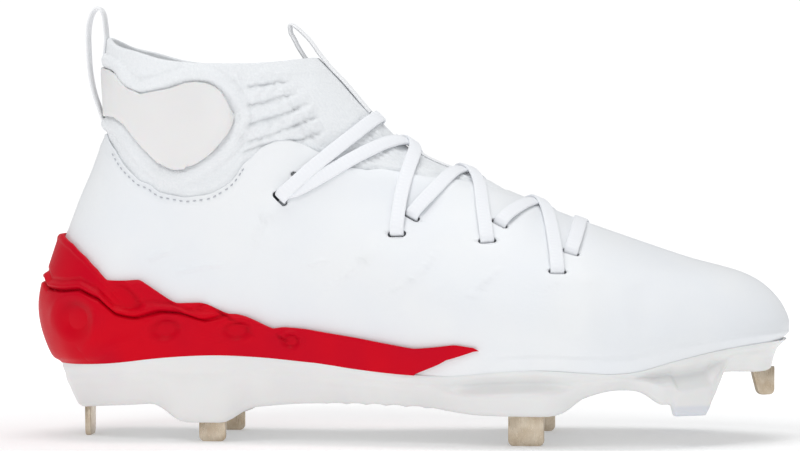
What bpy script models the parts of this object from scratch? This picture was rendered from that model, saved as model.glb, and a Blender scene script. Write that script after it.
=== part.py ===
# Baseball cleat, right shoe, empty and standing on its metal spikes.
# The toe points to +X, the inner side of the foot to +Y, and up is +Z. Lengths are in metres.
import math

import bmesh
import bpy
import numpy as np
from mathutils import Matrix, Vector

# Driving dimensions
shoe_length = 0.3017
ball_width = 0.1000
collar_height = 0.1605
sole_height = 0.0340
fit_gap = 0.0003
curved_gap = 0.0009
shell_wall = 0.0018
rand_step = 0.0007
sock_wall = 0.0022
sock_tuck = 0.18
tuck_gap = 0.0010
counter_top_wall = 0.0016
counter_foot_wall = 0.0027
counter_tip_wall = 0.0011
strap_wall = 0.0024
insole_thick = 0.0040
insole_inset = 0.0034
lug_root = 0.0042
lug_corner = 0.0020
bed_depth = 0.0045
bed_inset = 0.0030
sole_draft = 0.0065
sole_edge_round = 0.0030
sole_side_step = 0.0009
sole_channel = 0.0035
lace_width = 0.0056
lace_thick = 0.0012
lace_steps = 9
lace_gap = 0.0010
slot_length = 0.0076
slot_width = 0.0026
loop_width = 0.0085
loop_thick = 0.0014
loop_rise = 0.0131
spike_corner = 0.0022
columns_around = 70
level_normal_end = 0.08
toe_fullness = 0.88

# Last: each ring runs round the foot from the heel to the ridge of the instep.
# level, back x / length, back z / height, front x / length, front z / height, back round, front round / length
rings = (
    (0.00, 0.0480, 0.184, 0.980, 0.249, 0.099, 0.220),
    (0.05, 0.0330, 0.218, 0.992, 0.279, 0.103, 0.250),
    (0.11, 0.0220, 0.265, 0.988, 0.315, 0.106, 0.300),
    (0.18, 0.0170, 0.321, 0.970, 0.361, 0.106, 0.375),
    (0.26, 0.0210, 0.383, 0.938, 0.401, 0.103, 0.457),
    (0.36, 0.0320, 0.455, 0.860, 0.444, 0.099, 0.484),
    (0.46, 0.0470, 0.530, 0.771, 0.500, 0.096, 0.497),
    (0.56, 0.0620, 0.601, 0.681, 0.562, 0.093, 0.471),
    (0.66, 0.0780, 0.672, 0.592, 0.638, 0.093, 0.381),
    (0.76, 0.0900, 0.741, 0.512, 0.700, 0.096, 0.292),
    (0.86, 0.0910, 0.829, 0.451, 0.788, 0.100, 0.212),
    (0.94, 0.0890, 0.919, 0.406, 0.885, 0.103, 0.166),
    (1.00, 0.0915, 1.000, 0.373, 0.951, 0.106, 0.139),
)
# Plan of the feather line: x / length, outer half, inner half and middle / ball width
plan = (
    (0.048, 0.290, 0.290, 0.000),
    (0.149, 0.310, 0.300, 0.000),
    (0.249, 0.315, 0.300, 0.000),
    (0.348, 0.330, 0.280, 0.000),
    (0.431, 0.365, 0.280, 0.003),
    (0.514, 0.420, 0.320, 0.008),
    (0.597, 0.470, 0.385, 0.015),
    (0.679, 0.500, 0.440, 0.023),
    (0.746, 0.500, 0.450, 0.032),
    (0.812, 0.480, 0.445, 0.045),
    (0.878, 0.450, 0.430, 0.060),
    (0.994, 0.420, 0.420, 0.080),
)
# Swell of each ring against the plan, at the heel, waist, ball and toe
swell_stations = (0.10, 0.36, 0.70, 0.93)
swell = (
    (0.00, 1.00, 1.00, 1.00, 1.00),
    (0.06, 1.05, 1.05, 1.05, 1.06),
    (0.14, 1.09, 1.07, 1.07, 1.09),
    (0.24, 1.07, 1.05, 1.06, 1.08),
    (0.36, 0.99, 1.00, 1.03, 1.05),
    (0.50, 0.90, 0.93, 1.00, 1.00),
    (0.66, 0.84, 0.85, 0.95, 0.95),
    (0.80, 0.90, 0.86, 0.90, 0.90),
    (0.90, 0.96, 0.90, 0.90, 0.90),
    (1.00, 1.00, 0.93, 0.90, 0.90),
)
# Side view of the feather line and of the collar: x / length, z / height
feather_line = (
    (0.048, 0.184), (0.116, 0.193), (0.169, 0.206), (0.222, 0.214), (0.272, 0.216), (0.322, 0.211),
    (0.384, 0.201), (0.447, 0.186), (0.517, 0.175), (0.563, 0.173), (0.623, 0.184), (0.679, 0.191),
    (0.736, 0.186), (0.772, 0.183), (0.795, 0.186), (0.849, 0.212), (0.905, 0.235), (0.961, 0.248),
    (0.981, 0.250),
)
collar_line = (
    (0.0915, 1.000), (0.109, 0.981), (0.143, 0.963), (0.179, 0.944), (0.219, 0.935),
    (0.259, 0.933), (0.308, 0.936), (0.351, 0.945), (0.373, 0.951),
)
# Top edge of the shell, scalloped from the heel to the front of the throat: x / length, z / height
shell_edge = (
    (0.091, 0.758), (0.110, 0.718), (0.125, 0.682), (0.148, 0.645), (0.176, 0.616), (0.210, 0.604),
    (0.244, 0.612), (0.270, 0.640), (0.286, 0.685), (0.311, 0.728), (0.329, 0.742), (0.349, 0.745),
    (0.369, 0.733), (0.391, 0.710), (0.421, 0.681), (0.447, 0.672), (0.467, 0.676), (0.493, 0.667),
    (0.525, 0.657), (0.556, 0.651), (0.594, 0.638), (0.619, 0.620),
)
# Heel counter: top edge, the step between its two tiers, and the rising lower edge of its tip
counter_edge = (
    (0.030, 0.505), (0.048, 0.500), (0.084, 0.455), (0.111, 0.402), (0.155, 0.397), (0.188, 0.363),
    (0.210, 0.346), (0.240, 0.346), (0.273, 0.322), (0.300, 0.315), (0.328, 0.285), (0.357, 0.292),
    (0.401, 0.277), (0.441, 0.266), (0.485, 0.252), (0.519, 0.242), (0.572, 0.253), (0.597, 0.246),
)
counter_tier = (
    (0.034, 0.367), (0.075, 0.370), (0.099, 0.345), (0.125, 0.308), (0.149, 0.305), (0.175, 0.321),
    (0.206, 0.326), (0.237, 0.300), (0.273, 0.290), (0.330, 0.262), (0.400, 0.245), (0.485, 0.228),
    (0.560, 0.236), (0.597, 0.240),
)
counter_foot = ((0.500, 0.177), (0.520, 0.178), (0.561, 0.216), (0.597, 0.238))
# Ankle strap round the heel cord, with a lobe on each ankle: upper and lower edges
strap_top = (
    (0.089, 0.920), (0.107, 0.912), (0.114, 0.892), (0.127, 0.868), (0.145, 0.856), (0.167, 0.863),
    (0.189, 0.877), (0.210, 0.887), (0.236, 0.889), (0.259, 0.882), (0.272, 0.860),
)
strap_foot = (
    (0.089, 0.801), (0.108, 0.794), (0.127, 0.783), (0.146, 0.759), (0.162, 0.726), (0.173, 0.698),
    (0.186, 0.680), (0.205, 0.672), (0.225, 0.684), (0.246, 0.713), (0.264, 0.746), (0.276, 0.795),
    (0.277, 0.830),
)
# Ground side of the sole: x / length, z / sole height
sole_profile = (
    (0.050, 0.338), (0.099, 0.397), (0.138, 0.421), (0.171, 0.440), (0.294, 0.400), (0.319, 0.424),
    (0.362, 0.456), (0.420, 0.468), (0.503, 0.453), (0.546, 0.432), (0.585, 0.412), (0.634, 0.400),
    (0.686, 0.420), (0.710, 0.455), (0.724, 0.524), (0.747, 0.603), (0.764, 0.644), (0.819, 0.665),
    (0.870, 0.750), (0.909, 0.832), (0.977, 0.835), (0.990, 0.870),
)
# Lugs: x / length, y / ball width, root and foot length and width / ball width, foot z / sole height
lugs = {
    "heel_outer": (0.237, -0.26, 0.32, 0.20, 0.17, 0.10, 0.238),
    "heel_inner": (0.237, 0.26, 0.32, 0.20, 0.17, 0.10, 0.238),
    "ball_outer": (0.655, -0.34, 0.46, 0.22, 0.18, 0.10, 0.362),
    "ball_inner": (0.655, 0.34, 0.46, 0.22, 0.15, 0.09, 0.362),
    "front_outer": (0.866, -0.27, 0.25, 0.13, 0.15, 0.09, 0.370),
    "front_inner": (0.866, 0.33, 0.25, 0.13, 0.15, 0.09, 0.370),
}
# Spikes: x / length, y / ball width, blade width, blade thickness, head z and foot z / sole height, turn
spikes = {
    "spike_heel_back": (0.0656, 0.00, 0.0120, 0.0024, 0.338, 0.0, 90.0),
    "spike_heel_outer": (0.2450, -0.26, 0.0107, 0.0022, 0.238, 0.0, 0.0),
    "spike_heel_inner": (0.2450, 0.26, 0.0107, 0.0022, 0.238, 0.0, 0.0),
    "spike_ball_outer": (0.6600, -0.34, 0.0141, 0.0022, 0.362, 0.0, 0.0),
    "spike_ball_inner": (0.6600, 0.34, 0.0141, 0.0022, 0.362, 0.0, 0.0),
    "spike_toe": (0.9630, 0.07, 0.0110, 0.0022, 0.834, 0.520, 35.0),
}
# Eyelets on the outer side, the inner side mirrors them: x / length, z / height
eyelets = {
    "top": (0.336, 0.601),
    "second": (0.492, 0.517),
    "third": (0.510, 0.560),
    "fourth": (0.610, 0.502),
    "fifth": (0.624, 0.543),
    "sixth": (0.702, 0.429),
    "toe": (0.717, 0.474),
}
# Places along the ridge where lace rows cross: x / length
ridge_crossings = {"top": 0.452, "upper": 0.494, "middle": 0.570, "lower": 0.664, "toe": 0.720}
# Pull loops, up the heel and over the front of the collar: level of the last, 1 outside the sock or -1
# inside it, and the distance outwards, forwards and upwards / loop rise
heel_loop = (
    (0.800, 1, 0.00, 0.0, 0.00), (0.845, 1, 0.24, 0.0, 0.00), (0.885, 1, 0.42, 0.0, 0.00),
    (0.935, 1, 0.56, 0.0, 0.00), (0.975, 1, 0.65, 0.0, 0.00), (1.000, 1, 0.69, 0.0, 0.00),
    (1.000, 1, 0.63, 0.0, 0.42), (1.000, 1, 0.48, 0.0, 0.76), (1.000, 1, 0.28, 0.0, 0.89),
    (1.000, 1, 0.11, 0.0, 0.74), (1.000, 1, 0.03, 0.0, 0.36), (1.000, 1, 0.00, 0.0, 0.02),
    (0.965, 1, 0.00, 0.0, 0.00),
)
front_loop = (
    (0.955, -1, -0.07, 0.00, 0.00), (0.995, -1, -0.08, -0.02, 0.02), (1.000, -1, -0.04, -0.28, 0.42),
    (1.000, -1, 0.00, -0.54, 0.84), (1.000, 1, 0.00, -0.72, 0.94), (1.000, 1, 0.00, -0.56, 0.84),
    (1.000, 1, 0.00, -0.26, 0.50), (1.000, 1, 0.00, -0.02, 0.12), (0.970, 1, 0.00, 0.00, 0.00),
    (0.940, 1, 0.00, 0.00, 0.00), (0.910, 1, 0.00, 0.00, 0.00), (0.875, 1, 0.00, 0.00, 0.00),
)


def column(table, index):
    return np.array([row[index] for row in table], float)


def smooth(xs, ys, x):
    """Cubic curve through the table's points, held level past its ends."""
    slopes = np.gradient(ys, xs)
    x = np.clip(x, xs[0], xs[-1])
    k = np.clip(np.searchsorted(xs, x) - 1, 0, len(xs) - 2)
    step = xs[k + 1] - xs[k]
    t = (x - xs[k]) / step
    rise = ys[k] * (1 + 2 * t) * (1 - t) ** 2 + ys[k + 1] * t * t * (3 - 2 * t)
    return rise + slopes[k] * step * t * (1 - t) ** 2 + slopes[k + 1] * step * t * t * (t - 1)


def ease(x, start, end):
    """0 before start, 1 after end, and an even rise between them."""
    t = np.clip((x - start) / (end - start), 0.0, 1.0)
    return t * t * (3 - 2 * t)


def feather_z(x):
    return collar_height * smooth(column(feather_line, 0), column(feather_line, 1), x / shoe_length)


def line_bow(line, x, back_x, front_x, back_z, front_z):
    """How far a side-view line lies above the straight chord of its ring."""
    chord = back_z + (front_z - back_z) * (x - back_x) / (front_x - back_x)
    return collar_height * smooth(column(line, 0), column(line, 1), x / shoe_length) - chord


def form(level, turn):
    """Point of the last: level 0 at the feather line and 1 at the collar.

    turn 0 is the heel, 0 to 1 the outer side, 1 the ridge, and 1 to 2 the inner side.
    """
    level, turn = np.broadcast_arrays(np.asarray(level, float), np.asarray(turn, float))
    turn = np.mod(turn, 2.0)
    outer = turn <= 1.0
    share = np.where(outer, turn, 2.0 - turn)
    levels = column(rings, 0)
    back_x, back_z, front_x, front_z, back_round, front_round = (
        smooth(levels, column(rings, k), level) for k in range(1, 7))
    back_x, front_x, back_round, front_round = (
        shoe_length * value for value in (back_x, front_x, back_round, front_round))
    back_z, front_z = collar_height * back_z, collar_height * front_z
    back_share = 0.22 + 0.14 * level
    front_share = 0.46 + 0.04 * level
    back_angle = np.clip(share / back_share, 0, 1) * math.pi / 2
    front_angle = np.clip((1 - share) / front_share, 0, 1) * math.pi / 2
    middle = (share - back_share) / (1 - back_share - front_share)
    straight = back_x + back_round + (front_x - back_x - back_round - front_round) * middle
    x = np.where(share < back_share, back_x + back_round * (1 - np.cos(back_angle)), straight)
    x = np.where(share > 1 - front_share, front_x - front_round * (1 - np.cos(front_angle)), x)
    z = back_z + (front_z - back_z) * (x - back_x) / (front_x - back_x)
    low, high = rings[0], rings[-1]
    low_ends = shoe_length * low[1], shoe_length * low[3], collar_height * low[2], collar_height * low[4]
    high_ends = (shoe_length * high[1], shoe_length * high[3], collar_height * high[2],
                 collar_height * high[4])
    z = z + np.clip(1 - level / 0.42, 0, 1) ** 2 * line_bow(feather_line, x, *low_ends)
    z = z + np.clip((level - 0.74) / 0.26, 0, 1) ** 1.5 * line_bow(collar_line, x, *high_ends)
    x_share = x / shoe_length
    half = np.where(outer, smooth(column(plan, 0), column(plan, 1), x_share),
                    smooth(column(plan, 0), column(plan, 2), x_share))
    stations = np.array([smooth(column(swell, 0), column(swell, k), level) for k in range(1, 5)])
    between = np.clip(np.searchsorted(swell_stations, x_share) - 1, 0, 2)
    places = np.array(swell_stations)
    blend = ease(x_share, places[between], places[between + 1])
    grid = np.take_along_axis(stations, between[None], 0)[0]
    grid_next = np.take_along_axis(stations, (between + 1)[None], 0)[0]
    half = half * (grid + (grid_next - grid) * blend)
    toe_closing = np.sin(front_angle) ** (toe_fullness + (1 - toe_fullness) * ease(level, 0.1, 0.5))
    side = np.where(outer, -1.0, 1.0) * np.sin(back_angle) * toe_closing
    y = ball_width * (smooth(column(plan, 0), column(plan, 3), x_share) + side * half)
    return np.stack([x, y, z], axis=-1)


def form_normal(level, turn):
    """Outward normal of the last, turned level at the feather line so that walls end on the sole."""
    small = 1e-3
    level, turn = np.broadcast_arrays(np.asarray(level, float), np.asarray(turn, float))
    upward = form(np.minimum(level + small, 1), turn) - form(np.maximum(level - small, 0), turn)
    around = form(level, turn + small) - form(level, turn - small)
    normal = np.cross(around, upward)
    normal = normal / np.linalg.norm(normal, axis=-1, keepdims=True)
    normal[..., 2] *= ease(level, 0.0, level_normal_end)
    return normal / np.linalg.norm(normal, axis=-1, keepdims=True)


def on_form(level, turn, lift=0.0):
    """Point at a distance outside the last."""
    return form(level, turn) + form_normal(level, turn) * np.asarray(lift, float)[..., None]


def closest(target, lift=0.0, side=(0.0, 1.0), seen_from_side=False):
    """Level and turn of the point of the last nearest to a target, or nearest in a side view."""
    weights = np.array([1.0, 0.0 if seen_from_side else 1.0, 1.0])
    level, turn, reach_level, reach_turn = 0.5, sum(side) / 2, 0.5, 0.5
    for _ in range(9):
        levels = np.clip(level + np.linspace(-reach_level, reach_level, 25), 0, 1)
        turns = np.clip(turn + np.linspace(-reach_turn, reach_turn, 25), *side)
        points = on_form(levels[:, None], turns[None, :], np.full((25, 25), lift))
        away = np.linalg.norm((points - target) * weights, axis=-1)
        row, place = np.unravel_index(np.argmin(away), away.shape)
        level, turn = float(levels[row]), float(turns[place])
        reach_level, reach_turn = reach_level * 0.35, reach_turn * 0.35
    return level, turn


def seat(x_share, z_share, lift=0.0):
    """Level and turn, on the outer side, of the point that a side view shows at x and z."""
    target = np.array([x_share * shoe_length, 0.0, z_share * collar_height])
    return closest(target, lift, seen_from_side=True)


def edge_levels(line, lift=0.0):
    """A side-view line as a function from turn to level, alike on both sides."""
    places = sorted((turn, level) for level, turn in (seat(x, z, lift) for x, z in line))
    turns = np.array([place[0] for place in places])
    levels = np.array([place[1] for place in places])
    return lambda turn: np.interp(folded(turn), turns, levels)


def folded(turn):
    """Turn counted from the heel on either side."""
    turn = np.mod(turn, 2.0)
    return np.minimum(turn, 2.0 - turn)


def material(name, colour, roughness, metallic=0.0):
    linear = [(value / 255) ** 2.2 for value in colour]
    made = bpy.data.materials.new(name)
    made.use_nodes = True
    shader = made.node_tree.nodes["Principled BSDF"]
    shader.inputs["Base Color"].default_value = (*linear, 1.0)
    shader.inputs["Roughness"].default_value = roughness
    shader.inputs["Metallic"].default_value = metallic
    made.diffuse_color = (*linear, 1.0)
    return made


def finish_object(name, bm, look):
    """Closed mesh with its faces outwards, as an object of its own."""
    bmesh.ops.recalc_face_normals(bm, faces=bm.faces)
    if bm.calc_volume(signed=True) < 0:
        bmesh.ops.reverse_faces(bm, faces=bm.faces)
    mesh = bpy.data.meshes.new(name)
    bm.to_mesh(mesh)
    bm.free()
    mesh.materials.append(look)
    mesh.shade_smooth()
    mesh.set_sharp_from_angle(angle=math.radians(38))
    made = bpy.data.objects.new(name, mesh)
    bpy.context.scene.collection.objects.link(made)
    return made


def skin(bm, rows, closed):
    """Quads between rows of vertices."""
    for low, high in zip(rows, rows[1:]):
        last = len(low) if closed else len(low) - 1
        for k in range(last):
            nxt = (k + 1) % len(low)
            bm.faces.new((low[k], low[nxt], high[nxt], high[k]))


def wall(name, outer_grid, inner_grid, closed, look):
    """Solid between an outer and an inner grid of points, rows from the bottom to the top."""
    bm = bmesh.new()
    outer = [[bm.verts.new(point) for point in row] for row in outer_grid]
    inner = [[bm.verts.new(point) for point in row] for row in inner_grid]
    skin(bm, outer, closed)
    skin(bm, [row[::-1] for row in inner], closed)
    skin(bm, [outer[0][::-1], inner[0][::-1]], closed)
    skin(bm, [outer[-1], inner[-1]], closed)
    if not closed:
        for end in (0, -1):
            bm.faces.new([row[end] for row in outer] + [row[end] for row in reversed(inner)])
    return finish_object(name, bm, look)


def strip(name, spine, normals, width, thick, look):
    """Flat webbing along a spine, lying with its lower face on it."""
    spine, normals = np.asarray(spine), np.asarray(normals)
    along = np.gradient(spine, axis=0)
    along = along / np.linalg.norm(along, axis=1, keepdims=True)
    across = np.cross(along, normals)
    across = across / np.linalg.norm(across, axis=1, keepdims=True)
    bm = bmesh.new()
    rows = []
    for point, normal, side in zip(spine, normals, across):
        corners = (point - side * width / 2, point + side * width / 2,
                   point + side * width / 2 + normal * thick, point - side * width / 2 + normal * thick)
        rows.append([bm.verts.new(corner) for corner in corners])
    skin(bm, rows, True)
    bm.faces.new(rows[0])
    bm.faces.new(rows[-1])
    return finish_object(name, bm, look)


def boolean(target, tool, operation):
    modifier = target.modifiers.new(operation.lower(), "BOOLEAN")
    modifier.operation = operation
    modifier.object = tool
    tool.hide_render = True
    tool.display_type = "WIRE"


def around_columns():
    return np.arange(columns_around) * 2.0 / columns_around


def heel_columns(last_turn, finer_from=1.0):
    """Columns from the inner tip round the heel to the outer tip, on the shell's stations or finer."""
    step = 2.0 / columns_around
    side = [step]
    while side[-1] + step * 0.3 < last_turn:
        side.append(min(side[-1] + (step if side[-1] < finer_from else step / 2), last_turn))
    return np.array([-place for place in reversed(side)] + [0.0] + side)


def rand_height(turn, level):
    """Raised rand along the foot of the vamp and toe."""
    forward = ease(form(0.0, turn)[..., 0] / shoe_length, 0.60, 0.66)
    return rand_step * forward * (np.asarray(level) < rand_level + 1e-4)


rand_level = 0.045
shell_top = edge_levels(shell_edge, shell_wall)
counter_top = edge_levels(counter_edge, shell_wall)
counter_step = edge_levels(counter_tier, shell_wall)
counter_low = edge_levels(counter_foot, shell_wall)
counter_tip_turn = seat(*counter_edge[-1], shell_wall)[1]
counter_low_turn = seat(*counter_foot[1], shell_wall)[1]


def shell_outer(level, turn):
    return fit_gap + shell_wall + rand_height(turn, level)


def make_upper(look):
    turns = around_columns()
    top = shell_top(turns)
    rise = (0.0, 0.15, 0.30, 0.45, 0.60, 0.74, 0.87, 0.96, 1.0)
    low = [np.zeros_like(turns), np.full_like(turns, rand_level), np.full_like(turns, rand_level * 1.25)]
    start = rand_level * 1.25
    levels = np.array(low + [start + (top - start) * share for share in rise[1:]])
    shift = shell_outer(levels, turns[None, :])
    edge_ease = np.ones((len(levels), 1))
    edge_ease[-1] = 0.55
    outer = on_form(levels, turns[None, :], fit_gap + (shift - fit_gap) * edge_ease)
    inner = on_form(levels, turns[None, :], np.full(levels.shape, fit_gap))
    return wall("upper", outer, inner, True, look)


def make_sock(look):
    turns = around_columns()
    start = np.maximum(shell_top(turns) - sock_tuck, 0.06)
    edge = shell_top(turns)
    levels = [start + (edge - start) * share for share in (0.0, 0.5, 1.1)]
    levels = np.array(levels + [levels[-1] + (1.0 - levels[-1]) * share for share in (0.3, 0.6, 0.85, 1.0)])
    tucked = np.where(levels < shell_top(turns) + 0.02, tuck_gap, 0.0)
    outer = on_form(levels, turns[None, :], -tucked)
    inner = on_form(levels, turns[None, :], np.full(levels.shape, -sock_wall))
    return wall("sock_tongue", outer, inner, True, look)


def counter_wall(turn):
    """Thickness of the counter's upper and lower tiers along its length."""
    forward = ease(folded(turn), 0.12, counter_tip_turn)
    upper = counter_top_wall + (counter_tip_wall - counter_top_wall) * forward
    lower = counter_foot_wall + (counter_tip_wall - counter_foot_wall) * forward
    return upper, lower


def make_counter(look):
    turns = heel_columns(counter_tip_turn, 0.13)
    side = folded(turns)
    foot = np.where(side < counter_low_turn, 0.0, counter_low(turns))
    top = np.maximum(counter_top(turns), foot + 0.012)
    tier = np.minimum(np.maximum(counter_step(turns), foot + 0.004), top - 0.006)
    upper, lower = counter_wall(turns)
    height = top - foot
    rows = (
        (foot, lower), (foot + (tier - foot) * 0.5, lower), (tier - height * 0.03, lower),
        (tier + height * 0.05, upper), (tier + (top - tier) * 0.6, upper), (top - height * 0.04, upper),
        (top, upper * 0.35),
    )
    base = fit_gap + shell_wall + curved_gap
    levels = np.array([row[0] for row in rows])
    lifts = np.array([base + row[1] for row in rows])
    outer = on_form(levels, turns[None, :], lifts)
    inner_levels = foot + height * np.array([[0.0], [0.09], [0.19], [0.31], [0.46], [0.63], [0.81], [1.0]])
    inner = on_form(inner_levels, turns[None, :], np.full(inner_levels.shape, base))
    return wall("heel_counter", outer, inner, False, look)


def make_ankle_strap(look):
    top_line, foot_line = edge_levels(strap_top, strap_wall), edge_levels(strap_foot, strap_wall)
    last = max(seat(*strap_foot[-1], strap_wall)[1], seat(*strap_top[-1], strap_wall)[1])
    turns = heel_columns(last)
    low, high = foot_line(turns), top_line(turns)
    high = np.maximum(high, low + 0.02)
    rows = ((0.0, 0.45), (0.12, 1.0), (0.5, 1.0), (0.88, 1.0), (1.0, 0.45))
    levels = np.array([low + (high - low) * share for share, _ in rows])
    ends = np.where(folded(turns) > last - 0.01, 0.6, 1.0)
    lifts = np.array([curved_gap + strap_wall * thick * ends for _, thick in rows])
    outer = on_form(levels, turns[None, :], lifts)
    inner = on_form(levels[::2], turns[None, :], np.full(levels[::2].shape, curved_gap))
    return wall("ankle_strap", outer, inner, False, look)


def sole_bottom(x):
    return sole_height * smooth(column(sole_profile, 0), column(sole_profile, 1), x / shoe_length)


def plan_ring(out):
    """Feather line in plan, moved outwards by a distance."""
    turns = around_columns()
    points = form(0.0, turns)
    flat = form_normal(0.0, turns) * np.array([1.0, 1.0, 0.0])
    flat = flat / np.linalg.norm(flat, axis=1, keepdims=True)
    return points + flat * np.broadcast_to(out, turns.shape)[:, None]


def floor_fill(bm, ring, steps, height):
    """Closes a ring with rows that cross the shoe from the outer to the inner side."""
    half = len(ring) // 2
    rows = [[ring[0]] * (steps + 1)]
    for k in range(1, half):
        outer, inner = ring[k], ring[-k]
        row = [outer]
        for step in range(1, steps):
            share = step / steps
            point = outer.co.lerp(inner.co, share)
            row.append(bm.verts.new((point.x, point.y, height(point.x, share))))
        rows.append(row + [inner])
    rows.append([ring[half]] * (steps + 1))
    for low, high in zip(rows, rows[1:]):
        for k in range(steps):
            corners = []
            for vert in (low[k], low[k + 1], high[k + 1], high[k]):
                if vert not in corners:
                    corners.append(vert)
            bm.faces.new(corners)


def lug_block(bm, x, y, root_length, foot_length, root_width, foot_width, foot_z):
    """Tapered block that reaches down from the sole."""
    top = float(sole_bottom(x * shoe_length)) + lug_root
    made = bmesh.ops.create_cube(bm, size=1.0)["verts"]
    for vert in made:
        root = vert.co.z > 0
        length = ball_width * (root_length if root else foot_length)
        width = ball_width * (root_width if root else foot_width)
        height = top if root else sole_height * foot_z
        vert.co = Vector((x * shoe_length + vert.co.x * length, y * ball_width + vert.co.y * width, height))
    corners = {edge for vert in made for edge in vert.link_edges}
    bmesh.ops.bevel(bm, geom=list(corners), offset=lug_corner, segments=1, profile=0.5, affect="EDGES",
                    material=-1)


def make_sole(look):
    turns = around_columns()
    rim = feather_z(form(0.0, turns)[:, 0]) - fit_gap
    under_counter = folded(turns) < counter_tip_turn - 0.06
    counter_out = fit_gap + shell_wall + curved_gap + counter_wall(turns)[1]
    side_out = np.where(under_counter, counter_out, shell_outer(0.0, turns) + fit_gap)
    top_ring = plan_ring(side_out)
    base = sole_bottom(top_ring[:, 0])
    depth = rim - base
    profile = (
        (side_out, rim),
        (side_out, rim - depth * 0.38),
        (side_out - sole_side_step, rim - depth * 0.46),
        (side_out - sole_side_step - sole_draft * 0.45, base + depth * 0.22),
        (side_out - sole_draft, base + depth * 0.06),
        (side_out - sole_draft - sole_edge_round, base),
    )
    bm = bmesh.new()
    rings_made = []
    inner_profile = ((-bed_inset, rim - bed_depth), (-bed_inset, rim))
    for out, height in inner_profile + profile:
        points = plan_ring(out)
        points[:, 2] = height
        rings_made.append([bm.verts.new(point) for point in points])
    skin(bm, rings_made, True)
    floor_fill(bm, rings_made[0], 2, lambda x, share: float(feather_z(x)) - fit_gap - bed_depth)
    floor_fill(bm, rings_made[-1], 6,
               lambda x, share: float(sole_bottom(x)) + sole_channel * math.sin(math.pi * share) ** 2)
    sole = finish_object("sole", bm, look)
    blocks = bmesh.new()
    for place in lugs.values():
        lug_block(blocks, *place)
    boolean(sole, finish_object("sole_lugs", blocks, look), "UNION")
    return sole


def make_insole(look):
    points = plan_ring(-insole_inset)
    low = feather_z(form(0.0, around_columns())[:, 0]) - bed_depth
    bm = bmesh.new()
    rows = []
    for height in (low, low + insole_thick):
        points[:, 2] = height
        rows.append([bm.verts.new(point) for point in points])
    skin(bm, rows, True)
    floor_fill(bm, rows[0], 2, lambda x, share: float(feather_z(x)) - bed_depth)
    floor_fill(bm, rows[1], 2, lambda x, share: float(feather_z(x)) - bed_depth + insole_thick)
    return finish_object("insole", bm, look)


def ridge_level(x_share):
    """Level at which the ridge of the instep passes a place along the shoe."""
    levels = np.linspace(0.0, 1.0, 400)
    places = form(levels, 1.0)[:, 0] / shoe_length
    return float(np.interp(-x_share, -places, levels))


def eyelet_place(name, inner_side=False):
    level, turn = seat(*eyelets[name], shell_wall)
    return level, 2 - turn if inner_side else turn


def taut_path(start, end, side):
    """Straight pull between two places, laid on the last."""
    first, last = form(*start), form(*end)
    between = [closest(first + (last - first) * t, 0.0, side) for t in np.linspace(0, 1, lace_steps)[1:-1]]
    return [start] + between + [end]


def lace_strand(name, start, crossing, end, raise_by, look):
    """Strand from an outer eyelet over the ridge to an inner eyelet."""
    middle = (ridge_level(ridge_crossings[crossing]), 1.0)
    path = taut_path(eyelet_place(start), middle, (0.0, 1.0))
    path += taut_path(middle, eyelet_place(end, True), (1.0, 2.0))[1:]
    levels = np.array([place[0] for place in path])
    turns = np.array([place[1] for place in path])
    lift = np.full(levels.shape, shell_wall + fit_gap + lace_gap + raise_by)
    spine = on_form(levels, turns, lift)
    spine[1:-1] = (spine[:-2] + 2 * spine[1:-1] + spine[2:]) / 4
    return strip(name, spine, form_normal(levels, turns), lace_width, lace_thick, look)


def make_laces(look):
    rows = (
        ("lace_top_cross", (("top", "top", "top"), ("top", "upper", "second"), ("second", "upper", "top"))),
        ("lace_middle_cross", (("third", "middle", "fourth"), ("fourth", "middle", "third"))),
        ("lace_lower_cross", (("fifth", "lower", "sixth"), ("sixth", "lower", "fifth"))),
        ("lace_toe_bar", (("toe", "toe", "toe"),)),
    )
    made = []
    for name, strands in rows:
        first, *others = strands
        lace = lace_strand(name, *first, 0.0, look)
        for k, other in enumerate(others):
            tool = lace_strand(f"{name}_strand_{k}", *other, 0.0004 * (k + 1), look)
            boolean(lace, tool, "UNION")
            made.append(tool)
        made.append(lace)
    return made


def make_eyelet_cutters(look):
    """Slots through the shell, long across the lace."""
    bm = bmesh.new()
    toward = {"top": "top", "second": "upper", "third": "middle", "fourth": "middle", "fifth": "lower",
              "sixth": "lower", "toe": "toe"}
    for name, crossing in toward.items():
        level, turn = eyelet_place(name)
        goal = ridge_level(ridge_crossings[crossing])
        for mirror in (False, True):
            place = 2 - turn if mirror else turn
            step = (1 - place) * 0.05
            here = on_form(level, place, shell_wall)
            there = on_form(level + (goal - level) * 0.05, place + step, shell_wall)
            out = Vector(form_normal(level, place))
            along = (Vector(there) - Vector(here)).normalized()
            across = out.cross(along).normalized()
            frame = Matrix((along, across, out)).transposed().to_4x4()
            frame.translation = Vector(here)
            size = Matrix.Diagonal((slot_width, slot_length, 0.007, 1.0))
            bmesh.ops.create_cube(bm, size=1.0, matrix=frame @ size)
    return finish_object("eyelet_cutters", bm, look)


def make_pull_loop(name, route, turn, look):
    table = np.array(route)
    steps = np.arange(len(table), dtype=float)
    fine = np.linspace(0, len(table) - 1, 2 * len(table) + 1)
    level, side, out, forward, up = (smooth(steps, table[:, k], fine) for k in range(5))
    beside = fit_gap + loop_thick / 2 + 0.0001
    shift = np.interp(side, (-1, 1), (-sock_wall - beside, beside)) + out * loop_rise
    spine = on_form(np.clip(level, 0, 1), turn, shift)
    spine = spine + np.stack([forward, np.zeros_like(forward), up], axis=-1) * loop_rise
    along = np.gradient(spine, axis=0)
    along = along / np.linalg.norm(along, axis=1, keepdims=True)
    normals = np.cross(along, np.array([0.0, 1.0, 0.0]))
    return strip(name, spine - normals * loop_thick / 2, normals, loop_width, loop_thick, look)


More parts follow.
